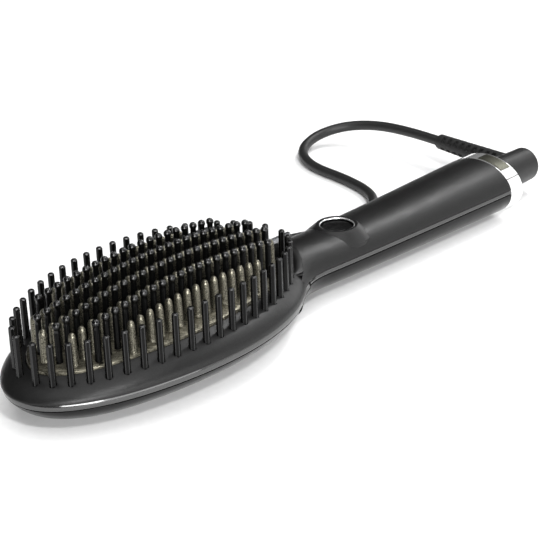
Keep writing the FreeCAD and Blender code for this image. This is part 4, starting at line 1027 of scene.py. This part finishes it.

# %% [markdown]
# ## Metals
# The end ring is polished chrome over brass, with hair-fine wiping marks. The bezel has the
# same chrome on its nose, and gloss black in its bore as painted shade of the button's well.
# The bare badge plate is a dull olive-grey metal. Hidden metal parts are zinc-plated steel
# and brass, so that a cut or an opened model still reads right.

# %% Metals
chrome = new_finish("chrome", (0.9, 0.9, 0.9), 0.82, 0.06)
handling(chrome, grain(chrome, 1.2, 4, stretch=(0.2, 1, 1)), 0.04, 0.12)
relief(chrome, grain(chrome, 6, 1), 0.002, 0.3)
dress(chrome, "chrome_ring")
BORE_R, BORE_SHADE_Z = 7.0, 23.4
bezel.data.materials.append(chrome)
# gloss black on the bore below the nose, in place of chrome: painted shade of the button's well
bezel.data.materials.append(gloss)
for polygon in bezel.data.polygons:
    x, y, z = on_drawing(polygon.center)
    in_shaded_bore = math.hypot(x - BUTTON_X, y) < BORE_R and z < BORE_SHADE_Z
    polygon.material_index = 1 if in_shaded_bore else 0

badge_metal = new_finish("badge_metal", (0.12, 0.12, 0.10), 0.9, 0.35)
two_tones(badge_metal, grain(badge_metal, 0.4, 3), (0.06, 0.06, 0.045), (0.13, 0.13, 0.105))
handling(badge_metal, grain(badge_metal, 0.6, 3, stretch=(1, 0.1, 0.1)), 0.28, 0.45)
dress(badge_metal, "badge_plate")

steel = new_finish("zinc_steel", (0.55, 0.56, 0.58), 1.0, 0.35)
handling(steel, grain(steel, 1.0, 4, stretch=(0.1, 1, 1)), 0.25, 0.5)
dress(steel, "heater_clamp", "clamp_screws", "retaining_clip", "plug_blades")

brass = new_finish("brass", (0.78, 0.55, 0.22), 1.0, 0.25)
handling(brass, grain(brass, 0.8, 3), 0.18, 0.4)
dress(brass, "slip_rings", "thermal_fuse")
print("metals: chrome, badge metal, zinc-plated steel and brass")

# %% [markdown]
# ## Plastics and inner parts
# The swivel's cap has its own coarser satin, and the button a smooth dark gloss that the
# fingertip polishes. Of the inner parts the heater is white ceramic, its insulation amber
# mica in thin leaves, and the control board green laminate.

# %% Plastics and inner parts
cap_satin = new_finish("cap_satin", (0.008, 0.008, 0.008), 0.0, 0.42, Specular_IOR_Level=0.36)
handling(cap_satin, grain(cap_satin, 5, 4), 0.36, 0.48)
relief(cap_satin, grain(cap_satin, 0.2, 3), 0.04, 0.5, rounding=0.25)
dress(cap_satin, "swivel_cap", "end_plug", "contact_block", "tact_switch")

button_gloss = new_finish("button_gloss", (0.004, 0.004, 0.004), 0.0, 0.2, Specular_IOR_Level=0.3)
handling(button_gloss, grain(button_gloss, 2, 4), 0.14, 0.24)
relief(button_gloss, grain(button_gloss, 0.8, 2), 0.01, 0.4, rounding=0.2)
dress(button_gloss, "power_button")

ceramic = new_finish("ceramic_white", (0.8, 0.79, 0.75), 0.0, 0.6)
two_tones(ceramic, grain(ceramic, 0.6, 4), (0.7, 0.69, 0.64), (0.83, 0.82, 0.78))
dress(ceramic, "heater_element")
mica = new_finish("mica_amber", (0.5, 0.36, 0.16), 0.1, 0.3)
two_tones(mica, grain(mica, 4, 5, stretch=(0.5, 1, 1)), (0.32, 0.2, 0.07), (0.6, 0.45, 0.22))
dress(mica, "insulation_sheet")
laminate = new_finish("board_green", (0.02, 0.12, 0.05), 0.0, 0.35)
weave = grain(laminate, 1.5, 2, stretch=(0.3, 1, 1))
two_tones(laminate, weave, (0.012, 0.08, 0.03), (0.025, 0.15, 0.06))
dress(laminate, "control_board")
print("inner finishes:", ceramic.name, mica.name, laminate.name)

# %% Finish
bpy.context.view_layer.update()
